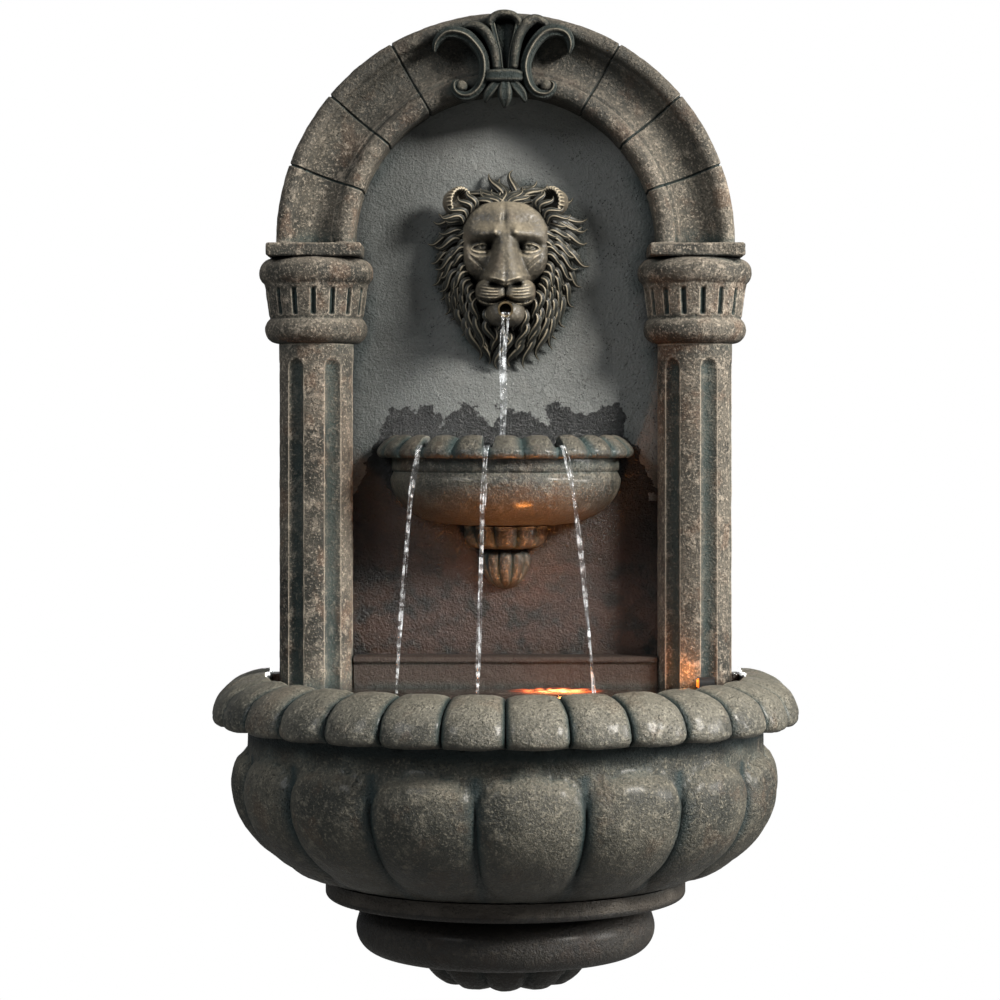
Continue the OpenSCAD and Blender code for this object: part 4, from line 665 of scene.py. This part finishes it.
random.seed(11)
hair = []
outer_tips = [
    (71.5, 2.6), (69, 22.2), (68.3, 34), (68.5, 42), (56, 60), (34.3, 70.5), (25.2, 73.5), (8.9, 81),
    (-3.5, 74.4), (-12.7, 79), (-32.2, 67.9), (-55.7, 47), (-60.3, 40), (-65.6, 21), (-63, 4),
    (-62.3, -14.4), (-56, -27), (-52.5, -39), (-48, -44), (-38.8, -57.4), (-29.6, -68), (-24.4, -78.3),
    (-15.3, -82.2), (-5, -85.5), (6, -84), (17.4, -85.5), (31, -78.3), (41.5, -69.2), (45.4, -60),
    (52.6, -49.6), (59.8, -32.6), (65, -15.7),
]


def mane_lock(tip, start, low, high, width):
    """One lock of the mane, swung towards the nearer side, in a width and a rise of its own."""
    x, z = tip
    sideways = min(1, abs(x) / 22)
    side = 1 if x > 0 else -1
    angle = math.atan2(z, x) + side * 0.20 * sideways
    hair.append(lock(
        angle, start + 0.07 * abs(math.sin(angle)), tip, low, high,
        side * random.uniform(0.11, 0.20) * (1 if sideways > 0.5 else random.choice((-1, 1))),
        width * random.uniform(0.85, 1.2), random.uniform(2.5, 5.5),
    ))


for k, tip in enumerate(outer_tips):
    mane_lock(tip, 0.60, 15, 4.5, 3.7)
    other = outer_tips[(k + 1) % len(outer_tips)]
    share = random.uniform(0.86, 0.93)
    mane_lock((share * (tip[0] + other[0]) / 2, share * (tip[1] + other[1]) / 2), 0.56, 20, 10, 3.4)
for count, start, end, low, high, width in ((40, 0.50, 0.83, 27, 17, 3.1), (34, 0.44, 0.68, 34, 27, 2.9)):
    for k in range(count):
        a = 2 * math.pi * (k + random.uniform(-0.25, 0.25)) / count
        r = (end + random.uniform(-0.05, 0.05)) * mane_reach(a)
        mane_lock((r * math.cos(a), r * math.sin(a)), start, low, high, width)
for side in (-1, 1):
    for x, z, tip_x, tip_z in ((30, 43, 38, 58), (33, 38, 47, 50), (28, 47, 30, 62), (35, 34, 53, 43)):
        a = math.atan2(z, side * x)
        hair.append(lock(
            a, math.hypot(x, z) / mane_reach(a), (side * tip_x, tip_z), 32, 35, side * 0.2, 2.6, 4
        ))


def mound_place(u, v):
    angle = 2 * np.pi * u
    share = 0.84 * v
    reach = np.array([mane_reach(a) for a in angle])
    h = np.where(v > 0.995, -0.5, 3 + 27 * (1 - share) ** 1.3)
    across, up = reach * share * np.cos(angle), reach * share * np.sin(angle)
    # The mound under the locks is marked fully, so it is painted dark as painted shade between the locks.
    return across, -relief_ground - h, mask_height + up, np.ones_like(h)


hair.append(shaped_grid("mound", 60, 30, mound_place))
for side in (-1, 1):
    cup = round_line([(0, -12), (8.4, -9), (11.2, 0), (12.2, 6.4), (11.2, 9.6), (8.8, 7), (5, 0), (0, -4)], 6)

    def ear_place(u, v):
        reach, out = line_at(cup, v)
        angle = 2 * np.pi * u
        reach = reach * (1 + 0.055 * np.cos(24 * angle) * np.clip(out / 5, 0, 1))
        x, z = 0.92 * reach * np.cos(angle), 1.05 * reach * np.sin(angle)
        lean = math.radians(34)
        return (
            side * (42.5 - x * math.cos(lean) - out * math.sin(lean)),
            -relief_ground - (26 + out * math.cos(lean) - x * math.sin(lean)), mask_height + 54 + z,
        )

    hair.append(shaped_grid("ear", 96, 40, ear_place))
finish_piece(joined("lion_relief", [face, *hair]), ["lion_mask"], lion_paint, 1.2)

# Upper bowl: a smooth half bowl whose lobed rim has three notches, through which it pours into the basin.
upper_axis = 21.5
fall_power = 2.4


def fall(angle, pitch, turn):
    """How far a lobe has fallen at an angle, from 0 on its crest to 1 in the valley beside it."""
    share = (angle - turn) / pitch
    return np.abs(2 * (share - np.floor(share)) - 1) ** fall_power


def about(angle, radius, height, axis, reference):
    """Round about an axis in front of the wall, in degrees from the front; past 90 it runs straight back."""
    past = np.maximum(np.abs(angle) - 90, 0)
    turn = np.radians(np.clip(angle, -90, 90))
    return radius * np.sin(turn), -axis - radius * np.cos(turn) + np.radians(past) * reference, height


bowl_line = np.array(
    [(0, 389)] + [
        (44 + 55.6 * math.sqrt(1 - ((40.1 - h) / 40.1) ** 2), 389 + h) for h in np.linspace(0.1, 40.1, 30)
    ] + [(96.6, 435), (98.4, 436.6), (98.6, 448), (94, 448), (92, 434), (78, 408), (0, 402)]
)


def upper_bowl_place(u, v):
    radius, height = line_at(bowl_line, v)
    return about(180 * u - 90, radius, height, upper_axis, 100)


upper_bowl = shaped_grid("upper_bowl_shell", 200, 110, upper_bowl_place)
chip(upper_bowl, 0.0010, 0.012)
finish_piece(upper_bowl, ["upper_bowl"], wet_paint, 0.7)


def closed_section(line, fall_line):
    """A closed section of radius and height on a crest, beside how far in and down it sits in a valley."""
    section = np.hstack([round_line(line, 5), round_line(fall_line, 5)])
    return np.vstack([section, section[:1]])


upper_rim_section = closed_section([
    (90.5, 448), (103, 448), (107.5, 446.6), (111.2, 450), (110.4, 455), (105, 461), (98, 465.6),
    (92.5, 466.2), (90, 463.5), (90, 452),
], [
    (0, 0), (0, 0), (3, 0), (4.4, 0), (4.2, 1.2), (3.4, 2.2), (1.5, 3.4), (0.6, 3.4), (0, 2.2), (0, 0),
])
notch_angles = np.array([-40.9, -8.2, 24.5])
notch_floor = 456


def upper_rim_place(u, v):
    angle = 180 * u - 90
    radius, height, fall_in, fall_down = line_at(upper_rim_section, v, 2)
    f = fall(angle, 180 / 11, 90 / 11)
    radius = radius - f * fall_in
    gap = np.abs(angle[:, None] - notch_angles).min(axis=1) * np.pi / 180 * radius
    height = np.minimum(height - f * fall_down, notch_floor + 8 * np.clip((gap - 4.2) / 1.4, 0, 3))
    # Valleys between the lobes are marked for dark patina with painted shade.
    return *about(angle, radius, height, upper_axis, 112), 1.2 * f


upper_rim = shaped_grid("upper_rim_lobes", 660, 72, upper_rim_place)
chip(upper_rim, 0.0010, 0.008)
finish_piece(upper_rim, ["upper_rim"], wet_paint, 0.9)

# Corbel: two lobed tiers like a half flower, that end in a drop under the upper bowl.
corbel_line = round_line([
    (0, 333), (9, 336), (16.5, 342), (21.6, 353), (21.6, 363), (16, 367.4), (25, 368.6), (32.6, 371),
    (36.5, 378.5), (36.5, 385), (34, 389), (0, 389.4),
], 6)


def corbel_place(u, v):
    angle = 180 * u - 90
    radius, height = line_at(corbel_line, v)
    f = fall(angle, 36, 18)
    radius = radius * (1 - 0.15 * f * np.clip(radius / 20, 0, 1))
    # Valleys between the lobes are marked for dark patina with painted shade.
    return *about(angle, radius, height, upper_axis, 40), f


corbel = shaped_grid("corbel_lobes", 300, 110, corbel_place)
chip(corbel, 0.0008, 0.007)
finish_piece(corbel, ["corbel"], wet_paint, 0.9)

# Basin: a wide half-round bowl with eight gadroons over a plain neck, under a rim of fifteen drooping lobes.
basin_axis = 55
bowl_foot = 91


def valley(height):
    """Radius of the bowl between the lobes at a height above its foot: it ends straight, as the neck."""
    below = 110 + 123.2 * math.sqrt(max(1 - ((height - 82.9) / 87.9) ** 2, 0)) - 13 * min(height / 20, 1)
    return below if height < 82.9 else 220.2 - 1.0 * (height - 82.9) / 29


lobe_height, lobe_pitch, lobe_rise = 112, 22.5, 13
shell_line = np.array(
    [(0, bowl_foot, 0)] + [(valley(h), bowl_foot + h, 1) for h in np.linspace(0, lobe_height, 60)]
    + [(219, 207, 0), (219, 224, 0), (213, 224, 0), (212, 205, 0), (203, 180, 0), (187, 140, 0),
       (150, 112, 0), (100, 100, 0), (0, 98, 0)]
)


def shell_place(u, v):
    angle = (2 * u - 1) * 98.1
    radius, height, lobed = line_at(shell_line, v)
    share = (angle - 16.45) / lobe_pitch
    across = np.abs(2 * (share - np.floor(share)) - 1)
    up = np.abs((height - bowl_foot) / lobe_height - 0.5) / 0.47
    pillow = np.sqrt(np.clip(1 - across ** 2.3 - up ** 5, 0, 1))
    radius = np.maximum(radius + lobe_rise * np.clip(lobed, 0, 1) * pillow, 0)
    # Valleys between the gadroons are marked for dark patina with painted shade, and the top of the neck
    # under the rim fully, as a painted shadow band.
    between = np.clip((across - 0.68) / 0.32, 0, 1) ** 1.5 * (up < 1.06)
    under_rim = (height - 209) / 8
    return *about(angle, radius, height, basin_axis, 233.5), np.maximum(between, under_rim)


shell = shaped_grid("basin_shell", 760, 130, shell_place)
chip(shell, 0.0016, 0.016)
basin_paint = weathered(
    "basin_paint", (0.022, 0.024, 0.019), (0.078, 0.074, 0.057), (0.34, 0.31, 0.24), (0.012, 0.045, 0.050),
    patina_share=0.95, wet=0.3, reach=0.028
)
finish_piece(shell, ["basin_bowl"], basin_paint, 0.8)

rim_section = closed_section([
    (202.5, 224), (237, 224), (244.6, 223.6), (249.2, 228), (248.4, 236), (243.4, 247), (234, 255.6),
    (220, 261.4), (208, 263.4), (202.5, 261), (202.3, 240),
], [
    (0, 0), (3, 0), (8, -3.2), (9.4, -3.2), (9, 0), (8, 2.4), (6, 4.4), (3.4, 5.8), (1.2, 5.4), (0, 3),
    (0, 0),
])
rim_angles = np.concatenate([[-102.5], np.arange(-102.25, 102.3, 0.25), [102.5]])


def rim_place(u, v):
    angle = np.interp(u, np.linspace(0, 1, len(rim_angles)), rim_angles)
    radius, height, fall_in, fall_down = line_at(rim_section, v, 2)
    across = fall(angle, 12, 0) ** (1 / fall_power)
    f = 1 - np.sqrt(np.clip(1 - across ** 2.6, 0, 1))
    radius = radius - f * fall_in
    height = height - f * fall_down
    # Valleys between the lobes are marked for dark patina with painted shade.
    return *about(angle, radius, height, basin_axis, 250), np.clip((across - 0.70) / 0.30, 0, 1) ** 1.5


rim = shaped_grid("basin_rim_lobes", len(rim_angles) - 1, 96, rim_place)
chip(rim, 0.0012, 0.012)
rim_paint = weathered(
    "rim_paint", (0.026, 0.028, 0.022), (0.095, 0.090, 0.070), (0.42, 0.39, 0.31), (0.012, 0.050, 0.050),
    patina_share=0.95, wet=0.5, reach=0.020
)
finish_piece(rim, ["basin_rim"], rim_paint, 0.9)

# Knob at the very bottom, with five broad lobes.
knob_line = round_line([
    (0, 0.6), (44, 0.8), (57, 5), (65, 12), (69.4, 20), (67.6, 28), (0, 28)
], 8)


def knob_place(u, v):
    angle = (2 * u - 1) * (90 + 33 / 70 * 57.3)
    radius, height = line_at(knob_line, v)
    f = fall(angle, 36, 18) * np.clip(radius / 60, 0, 1)
    height = height + np.where(height < 14, 4 * f * np.clip(radius / 50, 0, 1), 0)
    # Valleys between the lobes are marked for dark patina with painted shade.
    return *about(angle, radius - 6 * f, height, basin_axis, 70), f


knob = shaped_grid("foot_knob", 420, 90, knob_place)
chip(knob, 0.0010, 0.010)
finish_piece(knob, ["base_finial"], foot_shade_paint, 0.9)

# Water: a pool in each basin and four thin streams, kept moving by the pump. It has no solid of its own in
# the CAD, so it belongs to this model alone.


def clear_water(name, tint, froth):
    """Clear water that lets light through to what lies under it, with a share of white froth."""
    material, tree, surface = new_material(name)
    surface.inputs["Base Color"].default_value = (*tint, 1)
    surface.inputs["Roughness"].default_value = 0.04
    surface.inputs["IOR"].default_value = 1.33
    surface.inputs["Transmission Weight"].default_value = 1.0
    place = tree.nodes.new("ShaderNodeTexCoord").outputs["Object"]
    ripple = cloud(tree, place, 210.0, 3.0)
    bumped(tree, ripple, 0.5, 0.0015)
    foam = shader_node(tree, "ShaderNodeBsdfDiffuse", {"Color": (0.92, 0.95, 0.97, 1)})
    frothy = shader_node(
        tree, "ShaderNodeMixShader",
        {0: stepped(tree, ripple, 0.45, 0.66, 0, froth), 1: surface.outputs["BSDF"], 2: foam.outputs["BSDF"]},
    )
    clear = tree.nodes.new("ShaderNodeBsdfTransparent")
    rays = tree.nodes.new("ShaderNodeLightPath")
    shown = shader_node(
        tree, "ShaderNodeMixShader",
        {0: rays.outputs["Is Shadow Ray"], 1: frothy.outputs["Shader"], 2: clear.outputs["BSDF"]},
    )
    tree.links.new(shown.outputs["Shader"], tree.nodes["Material Output"].inputs["Surface"])
    return material


def finish_water(piece, material):
    """Water stands for no CAD node, so it replaces none."""
    finish_piece(piece, [], material, 1.2)


landings = np.array([(-91, -113), (-23, -139), (73, -131)])


def pool(name, outer, level, depth, axis, back, drops):
    """A thin sheet of water out to a radius, rippled in rings about the places where drops fall."""
    line = np.array([(0, level), (outer, level), (outer, level - depth), (0, level - depth)])
    past = math.degrees((axis - back) / outer)

    def place(u, v):
        radius, height = line_at(line, v)
        x, y, height = about((2 * u - 1) * (90 + past), radius, height, axis, outer)
        for drop_x, drop_y in drops:
            away = np.hypot(x - drop_x, y - drop_y)
            height = height + 1.1 * np.exp(-away / 26) * np.cos(away / 2.4)
        return x, y, height

    return shaped_grid(name, 260, 240, place)


pool_water = clear_water("pool_water", (0.80, 0.84, 0.82), 0.0)
# The lamp under the water is painted on the ripples above it as a broken orange glow: the water glows there
# as painted light.
gleam = pool_water.node_tree
gleam_place = gleam.nodes.new("ShaderNodeTexCoord").outputs["Object"]
away = vectors(gleam, "SUBTRACT", {0: gleam_place, 1: (0.044, -0.078, -0.3895)})
away = vectors(gleam, "LENGTH", {0: vectors(gleam, "MULTIPLY", {0: away, 1: (0.75, 1.0, 1.0)})}, "Value")
broken = stepped(gleam, cloud(gleam, gleam_place, 130.0, 3.0), 0.40, 0.58, 0.1, 1.0)
lit = maths(gleam, "MULTIPLY", stepped(gleam, away, 0.036, 0.004), broken)
gleam_surface = gleam.nodes["Principled BSDF"].inputs
orange = mixed(gleam, stepped(gleam, lit, 0.3, 0.9), (1.0, 0.13, 0.02), (1.0, 0.42, 0.14))
gleam.links.new(orange, gleam_surface["Emission Color"])
gleam.links.new(stepped(gleam, lit, 0.0, 1.0, 0.0, 2.2), gleam_surface["Emission Strength"])
finish_water(pool("lower_pool", 201.6, 250.5, 2.5, basin_axis, 23, landings), pool_water)
finish_water(pool("upper_pool", 89.4, 458.5, 2.5, 22, 21.9, [(-3, -101)]), pool_water)


def stream(name, start, end, forward, wide):
    """Five thin strands of water side by side, which waver and pinch as they fall."""
    strands = []
    start, end = np.array(start, float), np.array(end, float)
    length = abs(end[2] - start[2])
    for k in range(5):
        phase = random.uniform(0, 6.28)

        def place(u, v):
            drop = u ** 1.6
            middle = start[None, :] + (end - start)[None, :] * np.stack([drop ** 0.62, drop ** 0.5, drop], 1)
            middle[:, 1] -= forward * np.sqrt(drop) * (1 - drop)
            spread = wide * ((k - 2) / 2 * (1 - 0.4 * u) + 0.22 * np.sin(length / 15 * u + phase))
            thick = 0.30 * wide * (0.62 + 0.38 * np.sin(length / 9 * u + 2.3 * k + phase))
            around = 2 * np.pi * v
            return (
                middle[:, 0] + spread + thick * np.cos(around),
                middle[:, 1] + 0.5 * wide * np.cos(2.1 * k + length / 30 * u) + thick * np.sin(around),
                middle[:, 2],
            )

        strands.append(shaped_grid(name, 240, 10, place))
    return joined(name, strands)


stream_water = clear_water("stream_water", (0.96, 0.98, 1.0), 0.25)
finish_water(stream("spout_stream", (0, -97, 569), (-3, -101, 459), 4, 3.0), stream_water)
for label, start, end in (
    ("left", (-71, -108, 457.5), (-91, -113, 251)),
    ("middle", (-15.5, -134, 457.5), (-23, -139, 251)),
    ("right", (46.5, -125, 457.5), (73, -131, 251)),
):
    finish_water(stream("stream_" + label, start, end, 8, 1.9), stream_water)

# Water works, lamps and hanging hardware, kept as in CAD: black moulded plastic, clear tube, ceramic, zinc.


def moulded(name, colour, rough, metallic=0.0, scale=900.0, depth=0.0002):
    """A smooth factory finish with a fine even grain."""
    material, tree, surface = new_material(name)
    grain = cloud(tree, tree.nodes.new("ShaderNodeTexCoord").outputs["Object"], scale, 3.0)
    tone = mixed(tree, stepped(tree, grain, 0.35, 0.65), tuple(0.85 * c for c in colour), colour)
    tree.links.new(tone, surface.inputs["Base Color"])
    tree.links.new(stepped(tree, grain, 0.3, 0.7, rough - 0.06, rough + 0.06), surface.inputs["Roughness"])
    surface.inputs["Metallic"].default_value = metallic
    bumped(tree, grain, 0.4, depth)
    return material


black_plastic = moulded("black_plastic", (0.022, 0.023, 0.024), 0.42)
finish_cad(
    ["pump_housing", "pump_cover", "pump_strainer", "outlet_nozzle", "spout_elbow", "tube_clips",
     "pool_lamp_housing", "side_lamp_housing"], black_plastic,
)
finish_cad(["flow_dial"], moulded("dial_plastic", (0.30, 0.05, 0.04), 0.40))
finish_cad(["impeller"], moulded("rotor_plastic", (0.60, 0.58, 0.52), 0.35))
finish_cad(["impeller_shaft"], moulded("shaft_ceramic", (0.78, 0.77, 0.74), 0.22))
finish_cad(
    ["suction_cups", "cable_grommet", "side_lamp_pad"], moulded("soft_rubber", (0.03, 0.03, 0.03), 0.7)
)
finish_cad(
    ["hanger_plates", "hanger_screws", "pump_screws", "hose_clamps"],
    moulded("zinc_steel", (0.62, 0.63, 0.64), 0.34, metallic=1.0, scale=300.0)
)
clear_tube = moulded("clear_tube", (0.72, 0.76, 0.74), 0.16)
clear_tube.node_tree.nodes["Principled BSDF"].inputs["Transmission Weight"].default_value = 0.85
finish_cad(["riser_tube"], clear_tube)
lens = moulded("lamp_lens", (0.95, 0.42, 0.08), 0.2)
lens_surface = lens.node_tree.nodes["Principled BSDF"].inputs
lens_surface["Emission Color"].default_value = (1, 0.17, 0.015, 1)
lens_surface["Emission Strength"].default_value = 1.1
finish_cad(["pool_lamp_lens", "side_lamp_lens"], lens)
amber = (1, 0.33, 0.07)
for label, spot, power in (("pool", (0.046, -0.116, -0.378), 0.03), ("side", (0.151, -0.084, -0.374), 0.035)):
    bpy.ops.object.light_add(type="POINT", location=spot)
    glow = bpy.context.object
    glow.name = label + "_glow"
    glow.data.shadow_soft_size = 0.006
    glow.data.color = amber
    glow.data.energy = power
bpy.ops.object.light_add(type="SPOT", location=(0.040, -0.120, -0.380))
beam = bpy.context.object
beam.name = "pool_beam"
beam.rotation_euler = (Vector((0.010, -0.070, -0.23)) - beam.location).to_track_quat("-Z", "Y").to_euler()
beam.data.spot_size = 1.5
beam.data.spot_blend = 0.8
beam.data.shadow_soft_size = 0.012
beam.data.color = amber
beam.data.energy = 1.2
spout_brass = moulded("spout_brass", (0.40, 0.30, 0.17), 0.38, metallic=1.0, scale=160.0, depth=0.0006)
finish_cad(["spout"], spout_brass)

# Studio: a pale floor far below the hanging fountain, a white backdrop for the camera only, soft lamps.
bpy.ops.mesh.primitive_plane_add(size=5.8, location=(0, 0, -1.25))
floor = bpy.context.object
floor.name = "floor"
floor_paint, floor_tree, floor_surface = new_material("floor_paint")
floor_seen = floor_tree.nodes.new("ShaderNodeLightPath").outputs["Is Camera Ray"]
floor_colour = mixed(floor_tree, floor_seen, (0.22, 0.22, 0.215), (0.82, 0.82, 0.81))
floor_tree.links.new(floor_colour, floor_surface.inputs["Base Color"])
floor_surface.inputs["Roughness"].default_value = 0.9
floor.data.materials.append(floor_paint)
floor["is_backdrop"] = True

world = bpy.data.worlds.new("studio")
bpy.context.scene.world = world
world.use_nodes = True
sky = world.node_tree
rays = sky.nodes.new("ShaderNodeLightPath").outputs
seen = maths(sky, "MAXIMUM", rays["Is Camera Ray"], rays["Is Transmission Ray"])
sky.links.new(mixed(sky, seen, (0.10, 0.105, 0.11), (1, 1, 1)), sky.nodes["Background"].inputs["Color"])


def soft_lamp(name, place, aim, size, power, colour=(1, 1, 1)):
    """A square soft lamp that looks at a point."""
    bpy.ops.object.light_add(type="AREA", location=place)
    lamp = bpy.context.object
    lamp.name = name
    lamp.data.size = size
    lamp.data.energy = power
    lamp.data.color = colour
    lamp.rotation_euler = (Vector(aim) - Vector(place)).to_track_quat("-Z", "Y").to_euler()


soft_lamp("key_lamp", (1.9, -1.5, 0.95), (0, 0, -0.2), 0.6, 116, (1, 0.96, 0.90))
soft_lamp("fill_lamp", (-1.5, -1.6, 0.95), (0, 0, -0.1), 0.8, 18, (0.98, 0.99, 1))
soft_lamp("edge_lamp", (2.1, -0.35, 0.1), (0.1, 0, -0.2), 0.6, 34, (1, 0.97, 0.93))
soft_lamp("back_lamp", (0, 1.9, -0.2), (0, 0, -0.2), 0.3, 24)

bpy.ops.object.camera_add(location=(0, -2.5, -0.173), rotation=(math.pi / 2, 0, 0))
camera = bpy.context.object
camera.data.lens = 103.3
camera.data.sensor_width = 36
camera.data.shift_x = -0.0055
camera.data.shift_y = -0.066
bpy.context.scene.camera = camera
bpy.context.scene.view_settings.view_transform = "Standard"

low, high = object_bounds()
